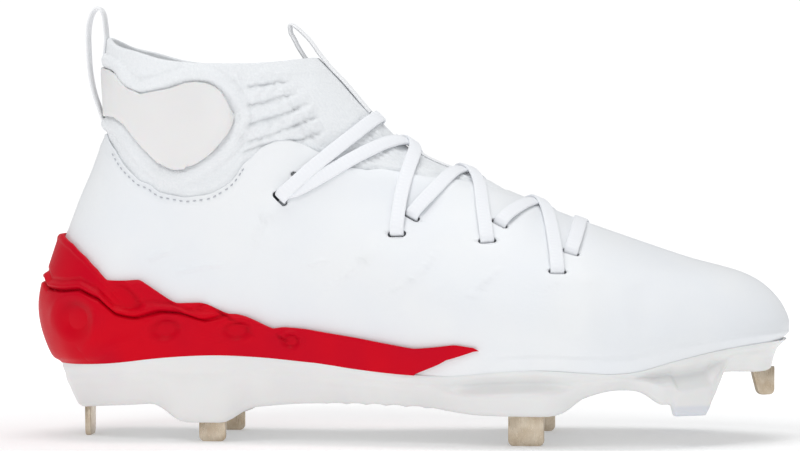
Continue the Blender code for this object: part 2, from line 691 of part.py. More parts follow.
def make_spike(name, x, y, width, thick, head, foot, turn, look):
    """Flat blade with rounded lower corners."""
    top = sole_height * head - fit_gap
    low = sole_height * foot
    corner = spike_corner
    outline = [(-width / 2, top), (-width / 2, low + corner)]
    for step in range(1, 4):
        angle = math.pi + step * math.pi / 8
        outline.append((-width / 2 + corner + corner * math.cos(angle), low + corner + corner * math.sin(angle)))
    outline.append((-width / 2 + corner, low))
    outline += [(-place, height) for place, height in reversed(outline)]
    bm = bmesh.new()
    front = [bm.verts.new((place, -thick / 2, height)) for place, height in outline]
    face = bm.faces.new(front)
    moved = bmesh.ops.extrude_face_region(bm, geom=[face])["geom"]
    bmesh.ops.translate(bm, vec=(0.0, thick, 0.0), verts=[v for v in moved if isinstance(v, bmesh.types.BMVert)])
    spike = finish_object(name, bm, look)
    spike.location = (x * shoe_length, y * ball_width, 0.0)
    spike.rotation_euler = (0.0, 0.0, math.radians(turn))
    return spike


def main():
    for item in list(bpy.data.objects):
        bpy.data.objects.remove(item, do_unlink=True)
    shell = material("white coated knit", (232, 235, 240), 0.55)
    knit = material("white rib knit", (224, 228, 234), 0.9)
    red = material("red moulded rubber", (200, 10, 40), 0.35)
    pad = material("frosted strap", (226, 226, 222), 0.45)
    plate = material("pale grey nylon plate", (224, 222, 218), 0.3)
    cord = material("white flat lace", (238, 240, 243), 0.8)
    webbing = material("white webbing", (235, 237, 241), 0.85)
    foam = material("grey insole cloth", (190, 192, 198), 0.9)
    metal = material("nickel spike", (205, 192, 172), 0.3, 1.0)

    upper = make_upper(shell)
    cutters = make_eyelet_cutters(shell)
    boolean(upper, cutters, "DIFFERENCE")
    pieces = [upper, cutters, make_sock(knit), make_counter(red), make_ankle_strap(pad), make_sole(plate),
              make_insole(foam)]
    pieces += make_laces(cord)
    pieces.append(make_pull_loop("heel_pull_loop", heel_loop, 0.0, webbing))
    pieces.append(make_pull_loop("front_pull_loop", front_loop, 1.0, webbing))
    for name, sizes in spikes.items():
        pieces.append(make_spike(name, *sizes, metal))

    bpy.context.view_layer.update()
    shown = [piece for piece in bpy.context.scene.objects if piece.type == "MESH" and not piece.hide_render]
    corners = [piece.matrix_world @ Vector(corner) for piece in shown for corner in piece.bound_box]
    middle_x = (min(c.x for c in corners) + max(c.x for c in corners)) / 2
    middle_y = (min(c.y for c in corners) + max(c.y for c in corners)) / 2
    shoe = bpy.data.objects.new("shoe", None)
    bpy.context.scene.collection.objects.link(shoe)
    for piece in list(bpy.context.scene.objects):
        if piece is not shoe:
            piece.parent = shoe
    shoe.location = (-middle_x, -middle_y, 0.0)
    bpy.context.view_layer.update()
    print("moved to the middle by", round(-middle_x, 5), round(-middle_y, 5))


main()
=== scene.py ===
import math
import bmesh
import bpy
import numpy as np
from mathutils import Matrix, Vector


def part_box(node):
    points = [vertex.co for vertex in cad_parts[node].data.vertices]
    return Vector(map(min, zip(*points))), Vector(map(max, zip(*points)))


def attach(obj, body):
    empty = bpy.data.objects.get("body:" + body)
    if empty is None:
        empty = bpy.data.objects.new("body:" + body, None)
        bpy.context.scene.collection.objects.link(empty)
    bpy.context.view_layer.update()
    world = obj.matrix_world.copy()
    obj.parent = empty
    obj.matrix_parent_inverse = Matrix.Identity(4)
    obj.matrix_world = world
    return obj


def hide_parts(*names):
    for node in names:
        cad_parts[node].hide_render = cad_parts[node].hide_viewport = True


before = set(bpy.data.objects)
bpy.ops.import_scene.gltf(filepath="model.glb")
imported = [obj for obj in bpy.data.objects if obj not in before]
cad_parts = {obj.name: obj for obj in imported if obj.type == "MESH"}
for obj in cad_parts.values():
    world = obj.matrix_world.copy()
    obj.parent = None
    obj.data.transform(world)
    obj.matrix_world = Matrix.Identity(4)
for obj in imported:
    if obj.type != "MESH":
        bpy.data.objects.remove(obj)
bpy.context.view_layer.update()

# A right baseball cleat: white coated shell, knit sock collar, red heel counter, pale plate on metal spikes.
# Toe to +X, inner side of the foot to +Y. Lengths in metres; tables hold shares of the sizes below.
shoe = {"length": 0.3017, "ball": 0.1000, "height": 0.1605, "sole": 0.0340}
layer = {"fit": 0.0003, "clear": 0.0009, "shell": 0.0018, "rand": 0.0007, "sock": 0.0022, "strap": 0.0024}
heelSpike = {"x": 0.2450, "y": -0.26}  # shares of length and ball width, ties the last to the solids
spikeLow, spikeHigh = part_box("spike_heel_outer")
lastPlace = np.array([
    (spikeLow[0] + spikeHigh[0]) / 2 - heelSpike["x"] * shoe["length"],
    (spikeLow[1] + spikeHigh[1]) / 2 - heelSpike["y"] * shoe["ball"], 0.0])
mm = 0.001

camera = {"spot": (0.3026, -1.4910, 0.1350), "target": (0.1459, 0.0, 0.0850), "lens": 168.3, "sensor": 36.0}
cameraData = bpy.data.cameras.new("camera")
cameraData.lens, cameraData.sensor_width = camera["lens"], camera["sensor"]
cameraData.clip_start, cameraData.clip_end = 0.05, 50.0
cameraObject = bpy.data.objects.new("camera", cameraData)
bpy.context.scene.collection.objects.link(cameraObject)
cameraObject.location = Vector(camera["spot"]) + Vector(lastPlace)
cameraObject.rotation_euler = (Vector(camera["target"]) - Vector(camera["spot"])).to_track_quat("-Z", "Y").to_euler()
bpy.context.scene.camera = cameraObject

# Last, ring by ring from the feather line to the collar:
# level, back x, back z, front x, front z, back round and front round
ringTable = np.array((
    (0.00, 0.0480, 0.184, 0.980, 0.249, 0.099, 0.220),
    (0.05, 0.0330, 0.218, 0.992, 0.279, 0.103, 0.250),
    (0.11, 0.0220, 0.265, 0.988, 0.315, 0.106, 0.300),
    (0.18, 0.0170, 0.321, 0.970, 0.361, 0.106, 0.375),
    (0.26, 0.0210, 0.383, 0.938, 0.401, 0.103, 0.457),
    (0.36, 0.0320, 0.455, 0.860, 0.444, 0.099, 0.484),
    (0.46, 0.0470, 0.530, 0.771, 0.500, 0.096, 0.497),
    (0.56, 0.0620, 0.601, 0.681, 0.562, 0.093, 0.471),
    (0.66, 0.0780, 0.672, 0.592, 0.638, 0.093, 0.381),
    (0.76, 0.0900, 0.741, 0.512, 0.700, 0.096, 0.292),
    (0.86, 0.0910, 0.829, 0.451, 0.788, 0.100, 0.212),
    (0.94, 0.0890, 0.919, 0.406, 0.885, 0.103, 0.166),
    (1.00, 0.0915, 1.000, 0.373, 0.951, 0.106, 0.139)))
# Plan of the feather line: x, outer half, inner half, middle
planTable = np.array((
    (0.048, 0.290, 0.290, 0.000), (0.149, 0.310, 0.300, 0.000), (0.249, 0.315, 0.300, 0.000),
    (0.348, 0.330, 0.280, 0.000), (0.431, 0.365, 0.280, 0.003), (0.514, 0.420, 0.320, 0.008),
    (0.597, 0.470, 0.385, 0.015), (0.679, 0.500, 0.440, 0.023), (0.746, 0.500, 0.450, 0.032),
    (0.812, 0.480, 0.445, 0.045), (0.878, 0.450, 0.430, 0.060), (0.994, 0.420, 0.420, 0.080)))
# Swell of each ring against the plan, at the stations below
swellStations = np.array((0.10, 0.36, 0.70, 0.93))
swellTable = np.array((
    (0.00, 1.00, 1.00, 1.00, 1.00), (0.06, 1.05, 1.05, 1.05, 1.06), (0.14, 1.09, 1.07, 1.07, 1.09),
    (0.24, 1.07, 1.05, 1.06, 1.08), (0.36, 0.99, 1.00, 1.03, 1.05), (0.50, 0.90, 0.93, 1.00, 1.00),
    (0.66, 0.84, 0.85, 0.95, 0.95), (0.80, 0.90, 0.86, 0.90, 0.90), (0.90, 0.96, 0.90, 0.90, 0.90),
    (1.00, 1.00, 0.93, 0.90, 0.90)))
# Side-view lines: x / length, z / height
featherLine = np.array((
    (0.048, 0.184), (0.116, 0.193), (0.169, 0.206), (0.222, 0.214), (0.272, 0.216), (0.322, 0.211),
    (0.384, 0.201), (0.447, 0.186), (0.517, 0.175), (0.563, 0.173), (0.623, 0.184), (0.679, 0.191),
    (0.736, 0.186), (0.772, 0.183), (0.795, 0.186), (0.849, 0.212), (0.905, 0.235), (0.961, 0.248),
    (0.981, 0.250)))
collarLine = np.array((
    (0.0915, 1.000), (0.109, 0.981), (0.143, 0.963), (0.179, 0.944), (0.219, 0.935),
    (0.259, 0.933), (0.308, 0.936), (0.351, 0.945), (0.373, 0.951)))
shellEdge = (
    (0.091, 0.758), (0.110, 0.718), (0.125, 0.682), (0.148, 0.645), (0.176, 0.616), (0.210, 0.604),
    (0.244, 0.612), (0.270, 0.640), (0.286, 0.685), (0.311, 0.728), (0.329, 0.742), (0.349, 0.745),
    (0.369, 0.733), (0.391, 0.710), (0.421, 0.681), (0.447, 0.672), (0.467, 0.676), (0.493, 0.667),
    (0.525, 0.657), (0.556, 0.651), (0.594, 0.638), (0.619, 0.620))
counterEdge = (
    (0.030, 0.505), (0.044, 0.503), (0.062, 0.482), (0.081, 0.454), (0.098, 0.424), (0.111, 0.398), (0.132, 0.397),
    (0.155, 0.400), (0.179, 0.372), (0.200, 0.344), (0.219, 0.345), (0.235, 0.346), (0.251, 0.339), (0.267, 0.320),
    (0.286, 0.319), (0.306, 0.308), (0.327, 0.284), (0.345, 0.289), (0.370, 0.286), (0.401, 0.277), (0.441, 0.266),
    (0.485, 0.252), (0.519, 0.242), (0.572, 0.253), (0.597, 0.246))
counterTier = (
    (0.022, 0.388), (0.030, 0.370), (0.053, 0.368), (0.077, 0.373), (0.102, 0.352), (0.131, 0.313), (0.150, 0.308),
    (0.181, 0.324), (0.208, 0.321), (0.240, 0.303), (0.256, 0.310), (0.268, 0.319), (0.286, 0.319), (0.306, 0.308),
    (0.327, 0.284), (0.345, 0.289), (0.370, 0.286), (0.401, 0.277), (0.485, 0.252), (0.597, 0.246))
counterFoot = ((0.500, 0.177), (0.520, 0.178), (0.561, 0.216), (0.597, 0.238))
strapTop = (
    (0.089, 0.922), (0.100, 0.918), (0.111, 0.908), (0.119, 0.890), (0.129, 0.873), (0.150, 0.858), (0.178, 0.867),
    (0.211, 0.885), (0.226, 0.888), (0.240, 0.885), (0.251, 0.876), (0.259, 0.864), (0.268, 0.846), (0.274, 0.826),
    (0.277, 0.808))
strapFoot = (
    (0.089, 0.801), (0.093, 0.803), (0.110, 0.799), (0.126, 0.781), (0.148, 0.732), (0.173, 0.687), (0.186, 0.675),
    (0.196, 0.670), (0.209, 0.672), (0.222, 0.682), (0.249, 0.717), (0.267, 0.752), (0.273, 0.775), (0.277, 0.802))


def smoothCurve(table, column, x):
    # cubic curve through a table's points, level past its ends
    xs, ys = table[:, 0], table[:, column]
    slopes = np.gradient(ys, xs)
    x = np.clip(x, xs[0], xs[-1])
    k = np.clip(np.searchsorted(xs, x) - 1, 0, len(xs) - 2)
    step = xs[k + 1] - xs[k]
    t = (x - xs[k]) / step
    rise = ys[k] * (1 + 2 * t) * (1 - t) ** 2 + ys[k + 1] * t * t * (3 - 2 * t)
    return rise + slopes[k] * step * t * (1 - t) ** 2 + slopes[k + 1] * step * t * t * (t - 1)


def ease(x, start, end):
    # 0 before start, 1 after end
    t = np.clip((x - start) / (end - start), 0.0, 1.0)
    return t * t * (3 - 2 * t)


def hump(away, width):
    return np.exp(-(away / width) ** 2)


def featherZ(x):
    return shoe["height"] * smoothCurve(featherLine, 1, x / shoe["length"])


def lineBow(line, x, ring):
    # how far a side-view line lies above the straight chord of its ring
    backX, backZ, frontX, frontZ = (ring[k] * shoe[s] for k, s in
                                    ((1, "length"), (2, "height"), (3, "length"), (4, "height")))
    chord = backZ + (frontZ - backZ) * (x - backX) / (frontX - backX)
    return shoe["height"] * smoothCurve(line, 1, x / shoe["length"]) - chord


def lastPoint(level, turn):
    # level 0 feather line, 1 collar; turn 0 heel, 0 to 1 outer side, 1 ridge of the instep, 1 to 2 inner side
    level, turn = np.broadcast_arrays(np.asarray(level, float), np.asarray(turn, float))
    turn = np.mod(turn, 2.0)
    outer = turn <= 1.0
    share = np.where(outer, turn, 2.0 - turn)
    backX, backZ, frontX, frontZ, backRound, frontRound = (smoothCurve(ringTable, k, level) for k in range(1, 7))
    backX, frontX, backRound, frontRound = (shoe["length"] * v for v in (backX, frontX, backRound, frontRound))
    backZ, frontZ = shoe["height"] * backZ, shoe["height"] * frontZ
    backShare = 0.22 + 0.14 * level
    frontShare = 0.46 + 0.04 * level
    backAngle = np.clip(share / backShare, 0, 1) * math.pi / 2
    frontAngle = np.clip((1 - share) / frontShare, 0, 1) * math.pi / 2
    middle = (share - backShare) / (1 - backShare - frontShare)
    x = backX + backRound + (frontX - backX - backRound - frontRound) * middle
    x = np.where(share < backShare, backX + backRound * (1 - np.cos(backAngle)), x)
    x = np.where(share > 1 - frontShare, frontX - frontRound * (1 - np.cos(frontAngle)), x)
    z = backZ + (frontZ - backZ) * (x - backX) / (frontX - backX)
    z = z + np.clip(1 - level / 0.42, 0, 1) ** 2 * lineBow(featherLine, x, ringTable[0])
    z = z + np.clip((level - 0.74) / 0.26, 0, 1) ** 1.5 * lineBow(collarLine, x, ringTable[-1])
    xShare = x / shoe["length"]
    half = np.where(outer, smoothCurve(planTable, 1, xShare), smoothCurve(planTable, 2, xShare))
    stations = np.array([smoothCurve(swellTable, k, level) for k in range(1, 5)])
    between = np.clip(np.searchsorted(swellStations, xShare) - 1, 0, 2)
    blend = ease(xShare, swellStations[between], swellStations[between + 1])
    low = np.take_along_axis(stations, between[None], 0)[0]
    high = np.take_along_axis(stations, (between + 1)[None], 0)[0]
    half = half * (low + (high - low) * blend)
    toeClosing = np.sin(frontAngle) ** (0.88 + 0.12 * ease(level, 0.1, 0.5))
    side = np.where(outer, -1.0, 1.0) * np.sin(backAngle) * toeClosing
    y = shoe["ball"] * (smoothCurve(planTable, 3, xShare) + side * half)
    return np.stack([x, y, z], axis=-1)


def lastNormal(level, turn):
    small = 1e-3
    level, turn = np.broadcast_arrays(np.asarray(level, float), np.asarray(turn, float))
    upward = lastPoint(np.minimum(level + small, 1), turn) - lastPoint(np.maximum(level - small, 0), turn)
    around = lastPoint(level, turn + small) - lastPoint(level, turn - small)
    normal = unit(np.cross(around, upward))
    normal[..., 2] *= ease(level, 0.0, 0.08)  # level at the feather line, where walls end on the sole
    return unit(normal)


def unit(vectors):
    return vectors / np.linalg.norm(vectors, axis=-1, keepdims=True)


def onLast(level, turn, lift=0.0):
    return lastPoint(level, turn) + lastNormal(level, turn) * np.asarray(lift, float)[..., None]


def closest(target, lift=0.0, side=(0.0, 1.0), seenFromSide=False):
    # level and turn of the nearest point of the last, or of the nearest in a side view
    weights = np.array([1.0, 0.0 if seenFromSide else 1.0, 1.0])
    level, turn, reachLevel, reachTurn = 0.5, sum(side) / 2, 0.5, 0.5
    for _ in range(9):
        levels = np.clip(level + np.linspace(-reachLevel, reachLevel, 25), 0, 1)
        turns = np.clip(turn + np.linspace(-reachTurn, reachTurn, 25), *side)
        points = onLast(levels[:, None], turns[None, :], np.full((25, 25), lift))
        away = np.linalg.norm((points - target) * weights, axis=-1)
        row, spot = np.unravel_index(np.argmin(away), away.shape)
        level, turn = float(levels[row]), float(turns[spot])
        reachLevel, reachTurn = reachLevel * 0.35, reachTurn * 0.35
    return level, turn


def seat(xShare, zShare, lift=0.0):
    return closest(np.array([xShare * shoe["length"], 0.0, zShare * shoe["height"]]), lift, seenFromSide=True)


def folded(turn):
    turn = np.mod(turn, 2.0)
    return np.minimum(turn, 2.0 - turn)


def edgeLevels(line, lift=0.0):
    # a side-view line as a function from turn to level, alike on both sides
    spots = sorted((turn, level) for level, turn in (seat(x, z, lift) for x, z in line))
    turns, levels = (np.array([spot[k] for spot in spots]) for k in (0, 1))
    fine = np.linspace(turns[0], turns[-1], 400)
    curve = np.interp(fine, turns, levels)
    kernel = np.hanning(9)
    padded = np.pad(curve, 4, mode="edge")
    curve = np.convolve(padded, kernel / kernel.sum(), mode="valid")
    return lambda turn: np.interp(folded(turn), fine, curve)


def lineAway(line, x, z):
    # distance in the side view to a smooth line, in metres, and the share along it
    knots = np.column_stack([np.arange(len(line)), np.array(line)])
    steps = np.linspace(0, len(line) - 1, 14 * len(line))
    lineX = smoothCurve(knots, 1, steps) * shoe["length"]
    lineZ = smoothCurve(knots, 2, steps) * shoe["height"]
    away = np.hypot(x[:, None] - lineX, z[:, None] - lineZ)
    nearest = away.argmin(axis=1)
    return away[np.arange(len(x)), nearest], steps[nearest] / (len(line) - 1)


def ripple(points, size, seed):
    # even, seeded unevenness between -1 and 1 from a few turned waves
    rng = np.random.default_rng(seed)
    total = np.zeros(len(points))
    for _ in range(7):
        direction = unit(rng.normal(size=3))
        total += np.sin(points @ direction * 2 * math.pi / size * rng.uniform(0.7, 1.4) + rng.uniform(0, 6.28))
    return total / 3.5


# Shell edges and tiers as levels of the last
shellTop = edgeLevels(shellEdge, layer["shell"])
counterTop = edgeLevels(counterEdge, layer["shell"])
counterStep = edgeLevels(counterTier, layer["shell"])
counterLow = edgeLevels(counterFoot, layer["shell"])
counterTipTurn = seat(*counterEdge[-1], layer["shell"])[1]
counterLowTurn = seat(*counterFoot[1], layer["shell"])[1]
strapHigh = edgeLevels(strapTop, layer["strap"])
strapLow = edgeLevels(strapFoot, layer["strap"])
print("last and edge lines ready")


def sectionRows(row, counts):
    # row numbers of a folded wall: share of its height, and the angle round its edges
    outerRows, edgeRows, innerRows, footRows = counts
    theta = np.pi * np.clip((row - outerRows) / edgeRows, 0, 1)
    below = row - outerRows - edgeRows - innerRows
    if footRows:
        theta = theta + np.pi * np.clip(below / footRows, 0, 1)
    rising = np.clip(row / outerRows, 0, 1)
    falling = np.clip((row - outerRows - edgeRows) / innerRows, 0, 1)
    return rising - falling, theta


def foldedWall(share, theta, turn, bottom, top, outerLift, innerLift, footRound=1.0):
    # level and lift of a wall with round edges between two levels
    radius = (outerLift - innerLift) / 2
    nearTop = np.clip(top, 0.02, 1.0)
    perLevel = np.linalg.norm(lastPoint(nearTop, turn) - lastPoint(nearTop - 0.01, turn), axis=-1) / 0.01
    rounding = radius / perLevel
    low = bottom + rounding * footRound * (theta.max() > 3.5)
    level = low + (top - rounding - low) * share + rounding * np.sin(theta) * np.where(theta > np.pi, footRound, 1)
    return level, innerLift + radius * (1 + np.cos(theta))


def meshPiece(name, columns, rows, shape, look, uvSize=(1.0, 1.0), openFoot=False):
    # a grid bent to shape by a function of column and row numbers, with a UV map in metres
    bm = bmesh.new()
    cloth = bm.loops.layers.uv.new("cloth")
    # per-vertex share of a second tone: painted shade on the sock and counter, the clear lug tips' own tint on the
    # plate
    hollow = bm.verts.layers.float.new("hollow")
    bmesh.ops.create_grid(bm, x_segments=columns, y_segments=rows, size=1.0, calc_uvs=True)
    flat = np.array([vert.co[:2] for vert in bm.verts])
    column = np.rint((flat[:, 0] + 1) / 2 * columns)
    row = np.rint((flat[:, 1] + 1) / 2 * rows)
    points, depth = shape(column, row)
    for vert, point, dark in zip(bm.verts, points + lastPlace, depth):
        vert.co = point
        vert[hollow] = dark
    for face in bm.faces:
        for loop in face.loops:
            loop[cloth].uv = (loop[cloth].uv[0] * uvSize[0], loop[cloth].uv[1] * uvSize[1])
    bmesh.ops.remove_doubles(bm, verts=bm.verts, dist=2e-6)
    bmesh.ops.dissolve_degenerate(bm, edges=bm.edges, dist=1e-6)
    openEdges = [edge for edge in bm.edges if edge.is_boundary]
    if openFoot:
        bmesh.ops.bridge_loops(bm, edges=openEdges)  # joins the two skins of a wall that is open below
    elif openEdges:
        bmesh.ops.holes_fill(bm, edges=openEdges)
    return finishMesh(name, bm, look)


def finishMesh(name, bm, look, smoothAngle=55):  # degrees
    bmesh.ops.recalc_face_normals(bm, faces=bm.faces)
    if bm.calc_volume(signed=True) < 0:
        bmesh.ops.reverse_faces(bm, faces=bm.faces)
    mesh = bpy.data.meshes.new(name)
    bm.to_mesh(mesh)
    bm.free()
    mesh.materials.append(look)
    mesh.shade_smooth()
    mesh.set_sharp_from_angle(angle=math.radians(smoothAngle))
    piece = bpy.data.objects.new(name, mesh)
    bpy.context.scene.collection.objects.link(piece)
    return piece


def joined(name, pieces, look):
    bm = bmesh.new()
    for piece in pieces:
        bm.from_mesh(piece.data)
        bpy.data.objects.remove(piece, do_unlink=True)
    mesh = bpy.data.meshes.new(name)
    bm.to_mesh(mesh)
    bm.free()
    mesh.materials.append(look)
    piece = bpy.data.objects.new(name, mesh)
    bpy.context.scene.collection.objects.link(piece)
    return piece


def fit(piece, slot, *nodes):
    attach(piece, "root")
    if nodes:
        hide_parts(*nodes)
    print("made", piece.name, len(piece.data.polygons), "faces")


# Materials
def tint(hexCode):
    values = [int(hexCode[k:k + 2], 16) / 255 for k in (1, 3, 5)]
    return tuple(v / 12.92 if v < 0.04045 else ((v + 0.055) / 1.055) ** 2.4 for v in values) + (1.0,)


def perMm(size):
    return 1.0 / (size * mm)


def addNode(tree, kind, settings=None, links=None):
    node = tree.nodes.new(kind)
    for name, value in (settings or {}).items():
        if isinstance(name, int) or name in node.inputs:
            node.inputs[name].default_value = value
        else:
            setattr(node, name, value)
    for name, socket in (links or {}).items():
        tree.links.new(socket, node.inputs[name])
    return node


def newMaterial(name, **sockets):
    made = bpy.data.materials.new(name)
    made.use_nodes = True
    tree = made.node_tree
    shader = tree.nodes["Principled BSDF"]
    for key, value in sockets.items():
        shader.inputs[key.replace("_", " ")].default_value = value
    place = addNode(tree, "ShaderNodeTexCoord")
    return made, tree, shader, place


def shellCloth():
    # knit under a thin matt polyurethane coat: near smooth, with a faint stipple and soft satin
    made, tree, shader, place = newMaterial("coatedKnit", Roughness=0.52, Coat_Weight=0.12, Coat_Roughness=0.42,
                                            Sheen_Weight=0.15, Sheen_Roughness=0.5)
    cloud = addNode(tree, "ShaderNodeTexNoise", {"Scale": perMm(38), "Detail": 3.0},
                    {"Vector": place.outputs["Object"]})
    grain = addNode(tree, "ShaderNodeTexNoise", {"Scale": perMm(1.1), "Detail": 4.0, "Roughness": 0.6},
                    {"Vector": place.outputs["Object"]})
    knit = addNode(tree, "ShaderNodeTexVoronoi", {"Scale": perMm(1.3), "feature": "SMOOTH_F1"},
                   {"Vector": place.outputs["Object"]})  # filaments under the coat, drawn a little coarse
    patches = addNode(tree, "ShaderNodeMapRange", {1: 0.35, 2: 0.65}, {0: cloud.outputs[0]})
    colour = addNode(tree, "ShaderNodeMix", {"data_type": "RGBA", 6: tint("#edf0f4"), 7: tint("#f1f3f5")},
                     {0: patches.outputs[0]})
    tree.links.new(colour.outputs[2], shader.inputs["Base Color"])
    satin = addNode(tree, "ShaderNodeMapRange", {1: 0.3, 2: 0.7, 3: 0.46, 4: 0.6}, {0: grain.outputs[0]})
    tree.links.new(satin.outputs[0], shader.inputs["Roughness"])
    knitBump = addNode(tree, "ShaderNodeBump", {"Distance": 0.12 * mm, "Strength": 0.35}, {"Height": knit.outputs[0]})
    grainBump = addNode(tree, "ShaderNodeBump", {"Distance": 0.10 * mm, "Strength": 0.35},
                        {"Height": grain.outputs[0], "Normal": knitBump.outputs[0]})
    cloudBump = addNode(tree, "ShaderNodeBump", {"Distance": 0.8 * mm, "Strength": 0.2},
                        {"Height": cloud.outputs[0], "Normal": grainBump.outputs[0]})
    tree.links.new(cloudBump.outputs[0], shader.inputs["Normal"])
    return made


def knitCloth(name, rib, rows, first, second, depth):
    # weft knit yarn, fluffy and matt: ribs up the leg, rows of stitches round it
    made, tree, shader, place = newMaterial(name, Roughness=0.9, Sheen_Weight=0.35, Sheen_Roughness=0.45)
    waleMap = addNode(tree, "ShaderNodeTexWave", {"Scale": perMm(rib) / 20 * 6.2832 / 2, "bands_direction": "X",
                                                  "Distortion": 1.2, "Detail": 2.0, "Detail Scale": 1.5},
                      {"Vector": place.outputs["UV"]})
    rowMap = addNode(tree, "ShaderNodeTexWave", {"Scale": perMm(rows) / 20 * 6.2832 / 2, "bands_direction": "Y",
                                                 "Distortion": 1.5, "Detail": 2.0},
                     {"Vector": place.outputs["UV"]})
    fuzz = addNode(tree, "ShaderNodeTexNoise", {"Scale": perMm(0.8), "Detail": 5.0, "Roughness": 0.65},
                   {"Vector": place.outputs["Object"]})
    tufts = addNode(tree, "ShaderNodeMapRange", {1: 0.3, 2: 0.7}, {0: fuzz.outputs[0]})
    even = addNode(tree, "ShaderNodeMix", {"data_type": "RGBA", 6: tint(first), 7: tint(second)},
                   {0: tufts.outputs[0]})
    # painted shade: the yarn darkens towards grey in the rib grooves and in the dents under the eyelet slots
    paintedShadeMask = addNode(tree, "ShaderNodeAttribute", {"attribute_name": "hollow"})
    deep = addNode(tree, "ShaderNodeMix", {"data_type": "RGBA", 7: tint("#4b4e54")},
                   {0: paintedShadeMask.outputs["Fac"], 6: even.outputs[2]})
    tree.links.new(deep.outputs[2], shader.inputs["Base Color"])
    ribBump = addNode(tree, "ShaderNodeBump", {"Distance": depth * mm, "Strength": 0.6}, {"Height": waleMap.outputs[1]})
    rowBump = addNode(tree, "ShaderNodeBump", {"Distance": depth * 0.6 * mm, "Strength": 0.5},
                      {"Height": rowMap.outputs[1], "Normal": ribBump.outputs[0]})
    fuzzBump = addNode(tree, "ShaderNodeBump", {"Distance": 0.25 * mm, "Strength": 0.5},
                       {"Height": fuzz.outputs[0], "Normal": rowBump.outputs[0]})
    tree.links.new(fuzzBump.outputs[0], shader.inputs["Normal"])
    return made


def wovenCloth(name, pitch, first, second, deep):
    # flat tubular braid: slanting picks over a soft core, matt with a bright thread
    made, tree, shader, place = newMaterial(name, Roughness=0.78, Sheen_Weight=0.3, Sheen_Roughness=0.4)
    picks = []
    for lean in (0.62, -0.62):
        turned = addNode(tree, "ShaderNodeMapping", {"Rotation": (0.0, 0.0, lean)}, {"Vector": place.outputs["UV"]})
        picks.append(addNode(tree, "ShaderNodeTexWave", {"Scale": perMm(pitch) / 20 * 6.2832 / 2,
                                                         "bands_direction": "X", "Distortion": 0.4},
                             {"Vector": turned.outputs[0]}).outputs[1])
    weave = addNode(tree, "ShaderNodeMath", {"operation": "MULTIPLY"}, {0: picks[0], 1: picks[1]})
    fuzz = addNode(tree, "ShaderNodeTexNoise", {"Scale": perMm(0.5), "Detail": 4.0},
                   {"Vector": place.outputs["Object"]})
    colour = addNode(tree, "ShaderNodeMix", {"data_type": "RGBA", 6: tint(first), 7: tint(second)},
                     {0: weave.outputs[0]})
    tree.links.new(colour.outputs[2], shader.inputs["Base Color"])
    pickBump = addNode(tree, "ShaderNodeBump", {"Distance": deep * mm, "Strength": 0.6}, {"Height": weave.outputs[0]})
    fuzzBump = addNode(tree, "ShaderNodeBump", {"Distance": 0.04 * mm, "Strength": 0.3},
                       {"Height": fuzz.outputs[0], "Normal": pickBump.outputs[0]})
    tree.links.new(fuzzBump.outputs[0], shader.inputs["Normal"])
    return made


def mouldedPolymer(name, first, second, roughness, coat, grainMm, shadeAndTintTone, subsurface=0.0, gloss=0.5):
    # injection moulded: even colour mixed towards a second tone by a vertex attribute, which is painted shade in the
    # counter's creases and dimples and the own tint of the plate's clear lug tips; fine spark-eroded grain, satin coat
    made, tree, shader, place = newMaterial(name, Roughness=roughness, Coat_Weight=coat, Coat_Roughness=0.22,
                                            Subsurface_Weight=subsurface, Subsurface_Scale=0.004,
                                            Specular_IOR_Level=gloss)
    cloud = addNode(tree, "ShaderNodeTexNoise", {"Scale": perMm(30), "Detail": 2.0},
                    {"Vector": place.outputs["Object"]})
    grain = addNode(tree, "ShaderNodeTexNoise", {"Scale": perMm(grainMm), "Detail": 3.0},
                    {"Vector": place.outputs["Object"]})
    # vertex attribute: painted shade on the counter, the clear lug tips' own tint on the plate
    depth = addNode(tree, "ShaderNodeAttribute", {"attribute_name": "hollow"})
    patches = addNode(tree, "ShaderNodeMapRange", {1: 0.35, 2: 0.65}, {0: cloud.outputs[0]})
    even = addNode(tree, "ShaderNodeMix", {"data_type": "RGBA", 6: tint(first), 7: tint(second)},
                   {0: patches.outputs[0]})
    deep = addNode(tree, "ShaderNodeMix", {"data_type": "RGBA", 7: tint(shadeAndTintTone)},
                   {0: depth.outputs["Fac"], 6: even.outputs[2]})
    tree.links.new(deep.outputs[2], shader.inputs["Base Color"])
    satin = addNode(tree, "ShaderNodeMapRange", {1: 0.3, 2: 0.7, 3: roughness - 0.05, 4: roughness + 0.07},
                    {0: grain.outputs[0]})
    tree.links.new(satin.outputs[0], shader.inputs["Roughness"])
    grainBump = addNode(tree, "ShaderNodeBump", {"Distance": 0.05 * mm, "Strength": 0.4}, {"Height": grain.outputs[0]})
    cloudBump = addNode(tree, "ShaderNodeBump", {"Distance": 0.5 * mm, "Strength": 0.15},
                        {"Height": cloud.outputs[0], "Normal": grainBump.outputs[0]})
    tree.links.new(cloudBump.outputs[0], shader.inputs["Normal"])
    return made


